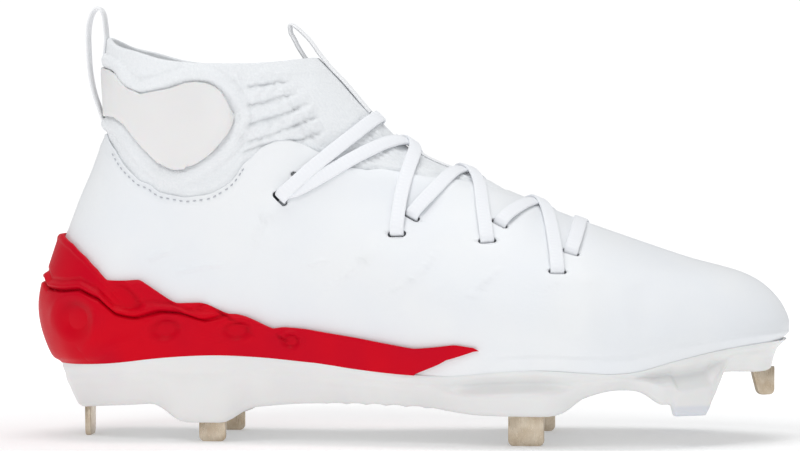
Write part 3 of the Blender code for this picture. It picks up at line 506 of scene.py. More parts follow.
def brushedNickel():
    # stamped steel with a warm nickel plate: fine brushing down the blade, dulled patches
    made, tree, shader, place = newMaterial("brushedNickel", Metallic=1.0, Roughness=0.3)
    drawn = addNode(tree, "ShaderNodeMapping", {"Scale": (1.0, 1.0, 0.06)}, {"Vector": place.outputs["Object"]})
    brush = addNode(tree, "ShaderNodeTexNoise", {"Scale": perMm(0.35), "Detail": 3.0}, {"Vector": drawn.outputs[0]})
    patch = addNode(tree, "ShaderNodeTexNoise", {"Scale": perMm(5), "Detail": 3.0}, {"Vector": place.outputs["Object"]})
    patches = addNode(tree, "ShaderNodeMapRange", {1: 0.35, 2: 0.65}, {0: patch.outputs[0]})
    colour = addNode(tree, "ShaderNodeMix", {"data_type": "RGBA", 6: tint("#d3c6b3"), 7: tint("#bfae97")},
                     {0: patches.outputs[0]})
    tree.links.new(colour.outputs[2], shader.inputs["Base Color"])
    dulled = addNode(tree, "ShaderNodeMapRange", {1: 0.3, 2: 0.7, 3: 0.22, 4: 0.4}, {0: brush.outputs[0]})
    tree.links.new(dulled.outputs[0], shader.inputs["Roughness"])
    brushBump = addNode(tree, "ShaderNodeBump", {"Distance": 0.02 * mm, "Strength": 0.35}, {"Height": brush.outputs[0]})
    tree.links.new(brushBump.outputs[0], shader.inputs["Normal"])
    return made


looks = {
    "shell": shellCloth(),
    "knit": knitCloth("ribbedYarn", 1.7, 1.2, "#e8ebee", "#f0f2f4", 0.12),
    "insole": knitCloth("insoleCloth", 1.1, 1.1, "#b4b8c0", "#c9ccd3", 0.15),
    "lace": wovenCloth("flatBraid", 0.7, "#f2f4f8", "#f5f7fa", 0.02),
    "webbing": wovenCloth("wovenTape", 0.8, "#f3f4f6", "#fafafb", 0.03),
    # the counter's dark red second tone is painted shade for its tier crease and dimples
    "counter": mouldedPolymer("redUrethane", "#d4001c", "#c80020", 0.40, 0.0, 0.5, "#85000f", gloss=0.08),
    "strap": mouldedPolymer("frostedUrethane", "#e9e8e8", "#e5e4e4", 0.5, 0.12, 0.6, "#d5d4d2", 0.1),
    "plate": mouldedPolymer("paleNylon", "#ededec", "#e8e8e8", 0.34, 0.25, 0.7, "#dee1e7", 0.1),
    "spike": brushedNickel(),
}
print("materials ready")

# Shell: one wall folded over its top edge, with rand, soft creases and the strands that show under the coat
shell = {"columns": 420, "counts": (104, 6, 30, 0), "randLevel": 0.045, "randFade": 0.052, "skive": 0.55,
         "skiveBand": 0.035, "strand": 0.75, "strandWidth": 0.75, "crease": 0.55, "creaseWidth": 5.0,
         "pucker": 0.5, "puckerWidth": 5.5}
strands = (
    ((0.163, 0.446), (0.178, 0.461), (0.196, 0.471)),
    ((0.204, 0.415), (0.231, 0.432), (0.265, 0.437)),
    ((0.304, 0.480), (0.310, 0.521), (0.320, 0.554), (0.353, 0.565)),
    ((0.377, 0.437), (0.404, 0.451)),
    ((0.400, 0.380), (0.440, 0.430), (0.470, 0.490)),
    ((0.478, 0.358), (0.524, 0.418), (0.549, 0.478)),
    ((0.591, 0.360), (0.628, 0.432)),
)
creases = (
    ((0.700, 0.395), (0.716, 0.330), (0.722, 0.270)),
    ((0.748, 0.400), (0.765, 0.320), (0.772, 0.260)),
    ((0.800, 0.385), (0.812, 0.320), (0.815, 0.270)),
    ((0.290, 0.640), (0.330, 0.560), (0.390, 0.500)),
)
eyelets = {"top": (0.336, 0.601), "second": (0.492, 0.517), "third": (0.510, 0.560), "fourth": (0.610, 0.502),
           "fifth": (0.624, 0.543), "sixth": (0.702, 0.429), "toe": (0.717, 0.474)}


def shellRelief(level, turn, base):
    x, z = base[:, 0], base[:, 2]
    forward = ease(x / shoe["length"], 0.60, 0.66)
    total = layer["rand"] * forward * (1 - ease(level, shell["randLevel"] - 0.003, shell["randFade"]))
    for line in strands:
        away, along = lineAway(line, x, z)
        total += shell["strand"] * mm * hump(away, shell["strandWidth"] * mm) * np.sin(np.pi * along) ** 0.5
    for line in creases:
        away, along = lineAway(line, x, z)
        total -= shell["crease"] * mm * hump(away, shell["creaseWidth"] * mm) * np.sin(np.pi * along) ** 0.5
    for spotX, spotZ in eyelets.values():
        away = np.hypot(x - spotX * shoe["length"], z - spotZ * shoe["height"])
        total -= shell["pucker"] * mm * hump(away, shell["puckerWidth"] * mm)
    return total + 0.12 * mm * ripple(base, 26 * mm, 4)


def shellShape(column, row):
    turn = column / shell["columns"] * 2
    share, theta = sectionRows(row, shell["counts"])
    top = shellTop(turn)
    near = ease(top * share, top - shell["skiveBand"], top)
    back = 1 - ease(lastPoint(top, turn)[:, 0] / shoe["length"], 0.25, 0.32)
    thin = shell["skive"] * (0.35 + 0.65 * back)
    outerLift = layer["fit"] + layer["shell"] * (1 - near * thin)
    level, lift = foldedWall(share, theta, turn, 0.0, top, outerLift, layer["fit"])
    base = lastPoint(level, turn)
    facing = (1 + np.cos(theta)) / 2
    lift = lift + shellRelief(level, turn, base) * facing * (1 - near)
    return onLast(level, turn, lift), np.zeros(len(row))


def slotFrame(name, inner):
    # matrix of an eyelet: x along the lace, y along the slot, z out of the shell
    level, turn = seat(*eyelets[name], layer["shell"])
    goal = ridgeLevel(crossings[toward[name]])
    turn = 2 - turn if inner else turn
    here = onLast(level, turn, layer["shell"])
    out = Vector(lastNormal(level, turn))
    along = (Vector(lastPoint(goal, 1.0)) - Vector(here)).normalized()
    across = out.cross(along).normalized()
    along = across.cross(out)
    turned = Matrix((along, across, out)).transposed().to_4x4()
    turned.translation = Vector(here)
    return turned


crossings = {"top": 0.452, "upper": 0.494, "middle": 0.570, "lower": 0.664, "toe": 0.720}
toward = {"top": "top", "second": "upper", "third": "middle", "fourth": "middle", "fifth": "lower",
          "sixth": "lower", "toe": "toe"}
slots = {"length": 7.4, "width": 2.9, "depth": 16.0, "spareHole": (0.354, 0.661), "spareSize": (2.6, 2.0)}


def ridgeLevel(xShare):
    levels = np.linspace(0.0, 1.0, 400)
    return float(np.interp(-xShare, -lastPoint(levels, 1.0)[:, 0] / shoe["length"], levels))


def slotCutter():
    bm = bmesh.new()
    spots = [(slotFrame(name, inner), slots["width"], slots["length"]) for name in eyelets for inner in (False, True)]
    level, turn = seat(*slots["spareHole"], layer["shell"])
    for place in (turn, 2 - turn):
        out = Vector(lastNormal(level, place))
        turned = out.to_track_quat("Z", "Y").to_matrix().to_4x4()
        turned.translation = Vector(onLast(level, place, layer["shell"]))
        spots.append((turned, *slots["spareSize"]))
    for turned, width, length in spots:
        size = Matrix.Diagonal((width * mm, length * mm, slots["depth"] * mm, 1.0))
        turned = Matrix.Translation(Vector(lastPlace)) @ turned
        made = bmesh.ops.create_cube(bm, size=1.0, matrix=turned @ size)["verts"]
        out = turned.to_3x3() @ Vector((0, 0, 1))
        upright = [edge for edge in {e for v in made for e in v.link_edges}
                   if abs((edge.verts[0].co - edge.verts[1].co).normalized().dot(out)) > 0.9]
        bmesh.ops.bevel(bm, geom=upright, offset=min(width, length) * 0.48 * mm, segments=5, profile=0.5,
                        affect="EDGES", material=-1)
    return finishMesh("slotCutter", bm, looks["shell"])


def cutBy(piece, cutter):
    modifier = piece.modifiers.new("slots", "BOOLEAN")
    modifier.operation, modifier.object, modifier.solver = "DIFFERENCE", cutter, "EXACT"
    graph = bpy.context.evaluated_depsgraph_get()
    mesh = bpy.data.meshes.new_from_object(piece.evaluated_get(graph))
    piece.modifiers.clear()
    piece.data = mesh


cutter = slotCutter()
upperShell = meshPiece("upperShell", shell["columns"], sum(shell["counts"]), shellShape, looks["shell"], (0.72, 0.2),
                       openFoot=True)
cutBy(upperShell, cutter)
bpy.data.objects.remove(cutter, do_unlink=True)
fit(upperShell, "shell", "upper")

# Sock collar with the tongue knitted in: ribs over the ankle, a padded roll round the strap, a rough seam
sock = {"columns": 400, "counts": (110, 8, 40, 0), "tuck": 0.18, "roll": 1.8, "rollFrom": 0.1, "rollTo": 6.2,
        "grooveDepth": 1.2, "grooveWidth": 0.75, "pillow": 0.9, "seam": 0.45, "seamWidth": 2.2, "hem": 0.35,
        "puff": 0.9, "dent": 0.9, "tongue": 1.1, "wrinkle": 0.8, "wrinkleWidth": 1.1}
ribGrooves = (
    ((0.291, 0.876), (0.311, 0.881), (0.331, 0.887), (0.352, 0.890)),
    ((0.291, 0.829), (0.306, 0.834), (0.324, 0.845), (0.341, 0.853), (0.367, 0.863)),
    ((0.291, 0.780), (0.319, 0.798), (0.341, 0.809), (0.362, 0.829), (0.379, 0.834)),
    ((0.291, 0.740), (0.328, 0.762), (0.355, 0.781), (0.377, 0.799), (0.388, 0.805)),
    ((0.286, 0.715), (0.305, 0.728), (0.334, 0.737), (0.367, 0.749), (0.385, 0.763), (0.396, 0.776)),
)
seamLine = ((0.280, 0.933), (0.280, 0.879), (0.279, 0.831), (0.282, 0.781), (0.286, 0.732), (0.290, 0.700))
strapOutline = strapTop + tuple(reversed(strapFoot))
tongueCreases = (
    ((0.435, 0.800), (0.455, 0.745), (0.470, 0.715)),
    ((0.455, 0.770), (0.480, 0.735), (0.510, 0.700)),
    ((0.480, 0.750), (0.505, 0.720), (0.540, 0.690)),
    ((0.515, 0.715), (0.545, 0.690), (0.580, 0.655)),
)


def inStrap(x, z):
    table = np.array(strapTop), np.array(strapFoot)
    xShare, zShare = x / shoe["length"], z / shoe["height"]
    top = np.interp(xShare, table[0][:, 0], table[0][:, 1])
    foot = np.interp(xShare, table[1][:, 0], table[1][:, 1])
    return (zShare < top) & (zShare > foot) & (xShare < table[0][-1, 0])


def sockRelief(level, turn, base):
    x, y, z = base.T
    xShare = x / shoe["length"]
    away, _ = lineAway(strapOutline, x, z)
    away = np.where(inStrap(x, z), 0.0, away) / mm
    middle = (sock["rollFrom"] + sock["rollTo"]) / 2
    reach = (sock["rollTo"] - sock["rollFrom"]) / 2
    roll = np.clip(1 - ((away - middle) / reach) ** 2, 0, 1) ** 0.7
    total = sock["roll"] * mm * roll
    ankle = ease(xShare, 0.286, 0.292) * (1 - ease(xShare, 0.375, 0.405))
    dark = np.zeros(len(x))
    wiggle = ripple(base, 3.1 * mm, 12)
    lumps = ripple(base, 4.2 * mm, 17)
    for line in ribGrooves:
        gap, along = lineAway(line, x, z + 0.35 * mm * wiggle)
        taper = ease(along, 0.0, 0.04) * (1 - ease(along, 0.72, 1.0))
        total -= sock["grooveDepth"] * mm * hump(gap, sock["grooveWidth"] * mm) * taper * (0.8 + 0.3 * wiggle)
        total += sock["pillow"] * mm * hump(gap - 3.4 * mm, 2.4 * mm) * taper * ankle * (0.8 + 0.35 * lumps)
        # painted shade down the middle of each rib groove
        dark += 0.20 * hump(gap, 0.55 * mm) * taper
    gap, along = lineAway(seamLine, x, z)
    rough = ripple(base, 2.6 * mm, 9)
    total += sock["seam"] * mm * hump(gap, sock["seamWidth"] * mm) * (0.5 + 0.7 * rough)
    for line in tongueCreases:
        gap, along = lineAway(line, x, z)
        total -= sock["wrinkle"] * mm * hump(gap, sock["wrinkleWidth"] * mm) * np.sin(np.pi * along) ** 0.5
    ridge = hump(y / mm, 7.0)
    throat = ease(xShare, 0.40, 0.44)
    total += 0.30 * mm * throat * ripple(base, 3.4 * mm, 21) * (1 - ridge)
    total += 0.15 * mm * ripple(base, 11 * mm, 30) * (1 - ridge)
    total += sock["hem"] * mm * ease(level, 0.955, 0.965) * (1 - ridge)
    total += sock["tongue"] * mm * hump(y / mm, 16.0) * ease(xShare, 0.42, 0.46)
    return total, dark


def sockShape(column, row):
    turn = column / sock["columns"] * 2
    share, theta = sectionRows(row, sock["counts"])
    edge = shellTop(turn)
    bottom = np.maximum(edge - sock["tuck"], 0.06)
    level, lift = foldedWall(share, theta, turn, bottom, np.ones(len(row)), np.zeros(len(row)),
                             np.full(len(row), -layer["sock"]))
    base = lastPoint(level, turn)
    relief, dark = sockRelief(level, turn, base)
    facing = (1 + np.cos(theta)) / 2
    free = ease(level, edge - 0.03, edge - 0.012)
    relief = relief + sock["puff"] * mm * hump(level - edge - 0.03, 0.022)
    lift = lift + relief * facing * free - layer["clear"] * (1 - free) * facing
    for spotX, spotZ in eyelets.values():
        away = np.hypot(base[:, 0] - spotX * shoe["length"], base[:, 2] - spotZ * shoe["height"])
        dent = (1 - ease(away, 3.2 * mm, 5.2 * mm)) * facing * (1 - free)
        lift = lift - sock["dent"] * mm * dent
        # painted shade in the sock's dents under the eyelet slots, seen through the slots
        dark = dark + dent
    return onLast(level, turn, lift), np.clip(dark, 0, 1) * facing


sockTongue = meshPiece("sockTongue", sock["columns"], sum(sock["counts"]), sockShape, looks["knit"], (0.42, 0.16),
                       openFoot=True)
fit(sockTongue, "knit", "sock_tongue")

# Ankle strap: a frosted cord round the heel that swells to a lobe on each ankle
strap = {"columns": 260, "counts": (34, 8, 14, 8), "dome": 0.8, "lift": 0.35, "thin": 0.35, "tipShare": 0.05}
strapTipTurn = max(seat(*strapFoot[-1], layer["strap"])[1], seat(*strapTop[-1], layer["strap"])[1])


def strapShape(column, row):
    side = np.sin((column / strap["columns"] * 2 - 1) * np.pi / 2) * strapTipTurn
    share, theta = sectionRows(row, strap["counts"])
    low, high = strapLow(side), strapHigh(side)
    middle, half = (low + high) / 2, (high - low) / 2
    near = np.clip((np.abs(side) / strapTipTurn - (1 - strap["tipShare"])) / strap["tipShare"], 0, 1)
    half = np.maximum(half, 0.012) * np.sqrt(np.clip(1 - near ** 2, 0.0004, 1))
    back = 1 - ease(np.abs(side), 0.02, 0.16)
    thick = layer["strap"] * np.clip(1 - near ** 5, 0.15, 1) * (1 - strap["thin"] * back)
    level, lift = foldedWall(share, theta, side, middle - half, middle + half, strap["lift"] * mm + thick,
                             np.full(len(row), strap["lift"] * mm))
    facing = (1 + np.cos(theta)) / 2
    inside = np.sin(np.pi * np.clip(share, 0, 1)) ** 0.7 * (1 - near)
    lift = lift + facing * mm * strap["dome"] * inside * ease(np.abs(side), 0.05, 0.2)
    return onLast(level, side, lift), np.zeros(len(row))


ankleStrap = meshPiece("ankleStrap", strap["columns"], sum(strap["counts"]), strapShape, looks["strap"], (0.2, 0.05))
fit(ankleStrap, "strap", "ankle_strap")

# Heel counter: moulded wrap in two tiers, a bead along the tier line, dents above it and dimples below
counter = {"columns": 600, "counts": (88, 6, 16, 4), "topWall": 1.6, "footWall": 2.7, "tipWall": 1.1,
           "bead": 1.2, "beadWidth": 1.1, "beadRise": 1.6, "groove": 0.6, "grooveRise": 3.8, "crease": 1.2,
           "creaseWidth": 0.5, "footRound": 0.25}
# Dimples and dents: x, z, half length and half height in mm, depth in mm, lean in degrees
dimples = (
    (0.074, 0.300, 8.4, 8.0, 3.0, 25), (0.188, 0.280, 7.4, 4.8, 2.5, 12), (0.283, 0.279, 7.0, 4.2, 2.3, 5),
    (0.355, 0.255, 4.4, 3.2, 2.2, 0), (0.133, 0.358, 9.6, 4.4, 1.9, -36), (0.246, 0.331, 6.2, 2.5, 1.6, 0),
)
flowLines = (
    (((0.090, 0.205), (0.118, 0.240), (0.160, 0.262)), 0.8, 2.6),
    (((0.100, 0.325), (0.098, 0.270), (0.080, 0.235)), 0.7, 1.8),
    (((0.215, 0.298), (0.235, 0.268), (0.262, 0.258)), 0.5, 2.4),
    (((0.112, 0.385), (0.130, 0.368), (0.152, 0.342)), 0.8, 0.8),
)


def counterShape(column, row):
    side = (column / counter["columns"] * 2 - 1) * counterTipTurn
    apart = np.abs(side)
    share, theta = sectionRows(row, counter["counts"])
    foot = np.where(apart < counterLowTurn, 0.0, counterLow(side))
    top = np.maximum(counterTop(side), foot + 0.004)
    forward = ease(apart, 0.12, counterTipTurn)
    upper = (counter["topWall"] + (counter["tipWall"] - counter["topWall"]) * forward) * mm
    lower = (counter["footWall"] + (counter["tipWall"] - counter["footWall"]) * forward) * mm
    base = layer["fit"] + layer["shell"] + layer["clear"]
    tip = np.sqrt(np.clip(1 - ease(apart, counterTipTurn * 0.90, counterTipTurn), 0.02, 1))
    level, lift = foldedWall(share, theta, side, foot, top, base + upper * tip, np.full(len(row), base),
                             counter["footRound"])
    where = lastPoint(level, side)
    x, z = where[:, 0], where[:, 2]
    tier = counterStep(side)
    above = (lastPoint(level, side)[:, 2] - lastPoint(tier, side)[:, 2]) / mm
    fade = 1 - ease(apart, counterTipTurn * 0.55, counterTipTurn * 0.85)
    edgeGap = (lastPoint(top, side)[:, 2] - lastPoint(tier, side)[:, 2]) / mm
    fade = fade * ease(edgeGap, 0.5, 3.0)
    relief = (lower - upper) / mm * (1 - ease(above, -1.4, 0.1))
    relief += counter["bead"] * hump(above - counter["beadRise"], counter["beadWidth"]) * fade
    relief -= counter["groove"] * hump(above - counter["grooveRise"], 0.7) * fade
    relief -= counter["crease"] * hump(above, counter["creaseWidth"]) * fade
    # painted shade in the crease at the tier line
    dark = 0.5 * hump(above, 0.4) * fade
    for dimpleX, dimpleZ, halfLong, halfHigh, deep, lean in dimples:
        angle = math.radians(lean)
        dx, dz = (x - dimpleX * shoe["length"]) / mm, (z - dimpleZ * shoe["height"]) / mm
        along = dx * math.cos(angle) + dz * math.sin(angle)
        across = dz * math.cos(angle) - dx * math.sin(angle)
        far = np.hypot(along / halfLong, across / halfHigh)
        upward = np.clip(0.5 + 0.35 * along / halfLong + 0.6 * across / halfHigh, 0, 1)  # steep at the top and front
        relief -= deep * (1 - ease(far, 0.42 * upward, 1.0))
        relief += 0.45 * hump(far - 1.15, 0.16) * upward
        # painted shade: a dark crescent inside each dimple under its steep upper edge
        dark += 0.22 * hump(far - 0.72, 0.20) * upward ** 2
    for line, high, width in flowLines:
        away, along = lineAway(line, x, z)
        relief += high * hump(away, width * mm) * np.sin(np.pi * along) ** 0.6
    edge = lastPoint(top, side)[:, 2] - z
    relief += 0.35 * hump(edge / mm - 1.6, 0.9) * fade
    relief += 0.15 * ripple(where, 17 * mm, 3)
    facing = (1 + np.cos(theta)) / 2
    lift = np.maximum(lift + relief * mm * facing * tip, base + 0.35 * mm * facing)
    return onLast(level, side, lift), np.clip(dark, 0, 1) * facing


heelCounter = meshPiece("heelCounter", counter["columns"], sum(counter["counts"]), counterShape, looks["counter"],
                        (0.4, 0.08))
fit(heelCounter, "counter", "heel_counter")

# Plate: bed, rim, side wall with its soft crease and shelves, and an underside that swells into the lugs
sole = {"columns": 440, "bedRows": 6, "wallRows": 3, "rimRows": 3, "sideRows": 34, "underRows": 40,
        "bedDepth": 4.5, "bedInset": 3.0, "channel": 3.5, "rib": 0.35, "ribPitch": 8.0, "rimLap": 0.12, "groove": 0.16,
        "toeFlush": 1.6}
soleProfile = np.array((
    (0.050, 0.338), (0.099, 0.397), (0.138, 0.421), (0.171, 0.440), (0.294, 0.400), (0.319, 0.424),
    (0.362, 0.456), (0.420, 0.468), (0.503, 0.453), (0.546, 0.432), (0.585, 0.412), (0.634, 0.400),
    (0.686, 0.420), (0.710, 0.455), (0.724, 0.524), (0.747, 0.603), (0.764, 0.644), (0.819, 0.665),
    (0.870, 0.750), (0.909, 0.832), (0.977, 0.835), (0.990, 0.870)))
# Lugs: x, y, half foot, flare to the back and to the front / ball width, root and foot width, foot z, side,
# shelf on the wall and how hollow the flare is
lugs = (
    (0.236, -0.265, 0.069, 0.150, 0.126, 0.20, 0.10, 0.230, -1, 0.0, 1.0),
    (0.240, 0.265, 0.069, 0.140, 0.126, 0.20, 0.10, 0.230, 1, 0.0, 1.0),
    (0.652, -0.345, 0.100, 0.280, 0.160, 0.20, 0.11, 0.368, -1, 1.0, 1.0),
    (0.655, 0.345, 0.100, 0.240, 0.160, 0.20, 0.11, 0.368, 1, 1.0, 1.0),
    (0.866, -0.280, 0.088, 0.150, 0.085, 0.16, 0.10, 0.500, -1, 1.0, 2.2),
    (0.853, 0.320, 0.078, 0.150, 0.085, 0.16, 0.10, 0.500, 1, 1.0, 2.2),
    (0.871, -0.280, 0.060, 0.016, 0.022, 0.16, 0.09, 0.362, -1, 1.0, 1.0),
    (0.858, 0.320, 0.055, 0.016, 0.022, 0.16, 0.09, 0.380, 1, 1.0, 1.0),
)
# Side wall: share of its depth, then mm inwards of the rim when plain, at a flush lug, at a shelved lug and at the toe
wallProfile = np.array((
    (0.00, 0.00, 0.00, 0.00, 0.00), (0.10, 0.30, 0.10, 0.80, 1.20), (0.20, 0.95, 0.35, 2.60, 2.60),
    (0.26, 1.40, 0.60, 3.70, 3.20), (0.31, 1.50, 0.50, 3.60, 3.70), (0.40, 1.90, 0.40, 1.70, 4.20),
    (0.50, 2.70, 0.60, -0.30, 4.70), (0.55, 3.20, 0.80, -0.55, 5.00), (0.62, 3.70, 1.10, -0.10, 5.20),
    (0.72, 4.50, 1.60, 0.35, 5.50), (0.80, 5.20, 2.10, 0.70, 5.70), (0.90, 6.10, 2.80, 1.30, 6.00),
    (0.96, 6.90, 3.50, 2.00, 6.40), (1.00, 8.00, 4.60, 3.20, 7.20)))


def soleBottom(x):
    return shoe["sole"] * smoothCurve(soleProfile, 1, x / shoe["length"])


def planRing(turn, out):
    points = lastPoint(0.0, turn)
    flat = unit(lastNormal(0.0, turn) * np.array([1.0, 1.0, 0.0]))
    return points + flat * out[:, None]


def lugReach(x, lug):
    # 1 over the foot of a lug, easing to 0 along its flares
    lugX, _, foot, back, front = lug[:5]
    far = (x - lugX * shoe["length"]) / shoe["ball"]
    return (1 - ease(np.where(far < 0, -far / back, far / front) - foot / np.where(far < 0, back, front), 0, 1))


def lugWeights(x, side):
    # along the shoe only: how far each column of the wall belongs to a flush lug and to a shelved one
    flush, shelved = np.zeros(len(x)), np.zeros(len(x))
    for lug in lugs:
        weight = lugReach(x, lug) * (side * lug[8] > 0)
        flush = np.maximum(flush, weight * (1 - lug[9]))
        shelved = np.maximum(shelved, weight * lug[9])
    return flush, shelved


def wallInward(down, x, side, toe):
    flush, shelved = lugWeights(x, side)
    shares = (np.clip(1 - flush - shelved, 0, 1) * (1 - toe), flush, shelved, np.clip(1 - flush - shelved, 0, 1) * toe)
    return sum(share * smoothCurve(wallProfile, k + 1, down) for k, share in enumerate(shares)) * mm


def underside(x, y, across, side):
    # height of the underside: across is 0 at the edge and 1 at the middle line
    height = soleBottom(x)
    height = height + sole["channel"] * mm * np.sin(np.pi * across / 2) ** 2 * (1 - 0.3 * ease(x, 0.2, 0.28))
    arch = ease(x / shoe["length"], 0.38, 0.42) * (1 - ease(x / shoe["length"], 0.52, 0.57))
    height = height - arch * sole["rib"] * mm * np.cos(2 * np.pi * x / (sole["ribPitch"] * mm))
    for lug in lugs:
        lugY, rootWide, footWide, footZ, lugSide, _, hollow = lug[1], *lug[5:]
        inward = (lugY * shoe["ball"] - y) * lugSide / shoe["ball"]
        sideways = 1 - ease(inward, footWide / 2, rootWide / 2 + 0.01)
        weight = lugReach(x, lug) ** hollow * sideways * (side * lugSide > 0)
        height = height + (footZ * shoe["sole"] - height) * weight
    return height


def soleShape(column, row):
    turn = column / sole["columns"] * 2
    side = np.where(np.mod(turn, 2) <= 1, -1.0, 1.0)
    starts = np.cumsum([0, sole["bedRows"], sole["wallRows"], sole["rimRows"], sole["sideRows"], sole["underRows"]])
    feather = lastPoint(0.0, turn)
    groove = sole["groove"] * ease(feather[:, 0] / shoe["length"], 0.62, 0.70)
    groove = groove * (1 - ease(feather[:, 0] / shoe["length"], 0.90, 0.96))
    rim = featherZ(feather[:, 0]) + (sole["rimLap"] - groove) * mm
    apart = folded(turn)
    forward = ease(apart, 0.12, counterTipTurn)
    counterOut = (counter["footWall"] + (counter["tipWall"] - counter["footWall"]) * forward) * mm
    counterOut = counterOut + layer["fit"] + layer["shell"] + layer["clear"]
    frontOut = 2 * layer["fit"] + layer["shell"] + layer["rand"] * ease(feather[:, 0] / shoe["length"], 0.60, 0.66)
    out = counterOut + (frontOut - counterOut) * ease(apart, counterTipTurn - 0.10, counterTipTurn - 0.04)
    out = out + sole["toeFlush"] * mm * ease(apart, 0.86, 0.97)
    bedZ = rim - sole["bedDepth"] * mm
    bedOut = np.full(len(row), -sole["bedInset"] * mm)
    middle = lastPlaceMiddle(feather)
    bedRing = planRing(turn, bedOut)
    share = np.clip(row / sole["bedRows"], 0, 1)
    points = middle + (bedRing - middle) * share[:, None]
    points[:, 2] = np.where(row <= starts[1], featherZ(points[:, 0]) - layer["fit"] - sole["bedDepth"] * mm, bedZ)
    wall = np.clip((row - starts[1]) / sole["wallRows"], 0, 1)
    points[:, 2] += (rim - bedZ) * wall
    over = np.clip((row - starts[2]) / sole["rimRows"], 0, 1)
    onRim = row > starts[2]
    ring = planRing(turn, bedOut + (out - bedOut) * over)
    points[onRim] = np.column_stack([ring[:, 0], ring[:, 1], rim])[onRim]
    down = np.clip((row - starts[3]) / sole["sideRows"], 0, 1)
    onSide = row > starts[3]
    toe = ease(apart, 0.84, 0.97)
    ring = planRing(turn, out - wallInward(down, feather[:, 0], side, toe))
    low = np.ones(len(row))
    edgeRing = planRing(turn, out - wallInward(low, feather[:, 0], side, toe))
    edgeZ = underside(edgeRing[:, 0], edgeRing[:, 1], 0 * low, side)
    sideZ = rim + (edgeZ - rim) * down
    points[onSide] = np.column_stack([ring[:, 0], ring[:, 1], sideZ])[onSide]
    across = np.clip((row - starts[4]) / sole["underRows"], 0, 1)
    onUnder = row > starts[4]
    otherTurn = np.mod(2 - turn, 2)
    otherX = lastPoint(0.0, otherTurn)[:, 0]
    otherRing = planRing(otherTurn, out - wallInward(low, otherX, -side, toe))
    spine = edgeRing.copy()
    spine[:, 0] = (edgeRing[:, 0] + otherRing[:, 0]) / 2
    spine[:, 1] = (edgeRing[:, 1] + otherRing[:, 1]) / 2
    under = edgeRing + (spine - edgeRing) * across[:, None]
    under[:, 2] = underside(under[:, 0], under[:, 1], across, side)
    points[onUnder] = under[onUnder]
    clear = ease(points[:, 0] / shoe["length"], 0.82, 0.83) * (1 - ease(points[:, 0] / shoe["length"], 0.91, 0.92))
    clear = clear * (1 - ease(points[:, 2] / shoe["sole"], 0.46, 0.50))
    return points, clear


def lastPlaceMiddle(feather):
    middle = feather.copy()
    middle[:, 1] = shoe["ball"] * smoothCurve(planTable, 3, feather[:, 0] / shoe["length"])
    return middle


plate = meshPiece("plate", sole["columns"], sum(sole[k] for k in ("bedRows", "wallRows", "rimRows", "sideRows",
                                                                 "underRows")),
                  soleShape, looks["plate"], (0.7, 0.15))
fit(plate, "plate", "sole")

# Insole: a cloth-topped foam sheet, a little cupped at its edge
insole = {"columns": 260, "rows": (10, 4, 16), "inset": 3.4, "thick": 4.0, "cup": 0.8}


def insoleShape(column, row):
    turn = column / insole["columns"] * 2
    lowRows, edgeRows, topRows = insole["rows"]
    ring = planRing(turn, np.full(len(row), -insole["inset"] * mm))
    middle = lastPlaceMiddle(ring)
    rising = np.clip(row / lowRows, 0, 1)
    falling = np.clip((row - lowRows - edgeRows) / topRows, 0, 1)
    points = middle + (ring - middle) * (rising - falling)[:, None]
    up = np.clip((row - lowRows) / edgeRows, 0, 1)
    points[:, 2] = featherZ(points[:, 0]) - sole["bedDepth"] * mm + insole["thick"] * mm * up
    points[:, 2] += -insole["cup"] * mm * (up > 0.9) * ease(falling, 0.0, 0.4)
    return points, np.zeros(len(row))


footbed = meshPiece("footbed", insole["columns"], sum(insole["rows"]), insoleShape, looks["insole"], (0.6, 0.1))
fit(footbed, "insole", "insole")
print("shell, sock, counter, plate and insole ready")

# Laces: flat braid that comes out of a slot, lies taut over the throat and goes into the slot opposite
lace = {"width": 5.6, "thick": 1.25, "gap": 0.35, "columns": 110, "around": 14, "steps": 9, "settle": 0.7}


def ribbonShape(spine, across, width, thick, columns, around, squareness=0.35):
    # strip with a rounded section swept along a spine; across is the direction of its width
    steps = np.concatenate([[0], np.cumsum(np.linalg.norm(np.diff(spine, axis=0), axis=1))])
    fine = np.linspace(0, steps[-1], columns + 1)
    path = np.column_stack([smoothCurve(np.column_stack([steps, spine[:, k]]), 1, fine) for k in range(3)])
    wide = np.column_stack([smoothCurve(np.column_stack([steps, across[:, k]]), 1, fine) for k in range(3)])
    tangent = unit(np.gradient(path, axis=0))
    wide = unit(wide - tangent * np.sum(wide * tangent, axis=1)[:, None])
    normal = np.cross(tangent, wide)

    def shape(column, row):
        k = column.astype(int)
        angle = row / around * 2 * np.pi
        side = np.sign(np.cos(angle)) * np.abs(np.cos(angle)) ** squareness * width / 2
        rise = np.sign(np.sin(angle)) * np.abs(np.sin(angle)) ** 0.75 * thick / 2
        return path[k] + wide[k] * side[:, None] + normal[k] * rise[:, None], np.zeros(len(row))
    return shape, steps[-1]


def tautPath(start, end, side):
    first, last = lastPoint(*start), lastPoint(*end)
    shares = np.linspace(0, 1, lace["steps"])[1:-1]
    return [start] + [closest(first + (last - first) * t, 0.0, side) for t in shares] + [end]


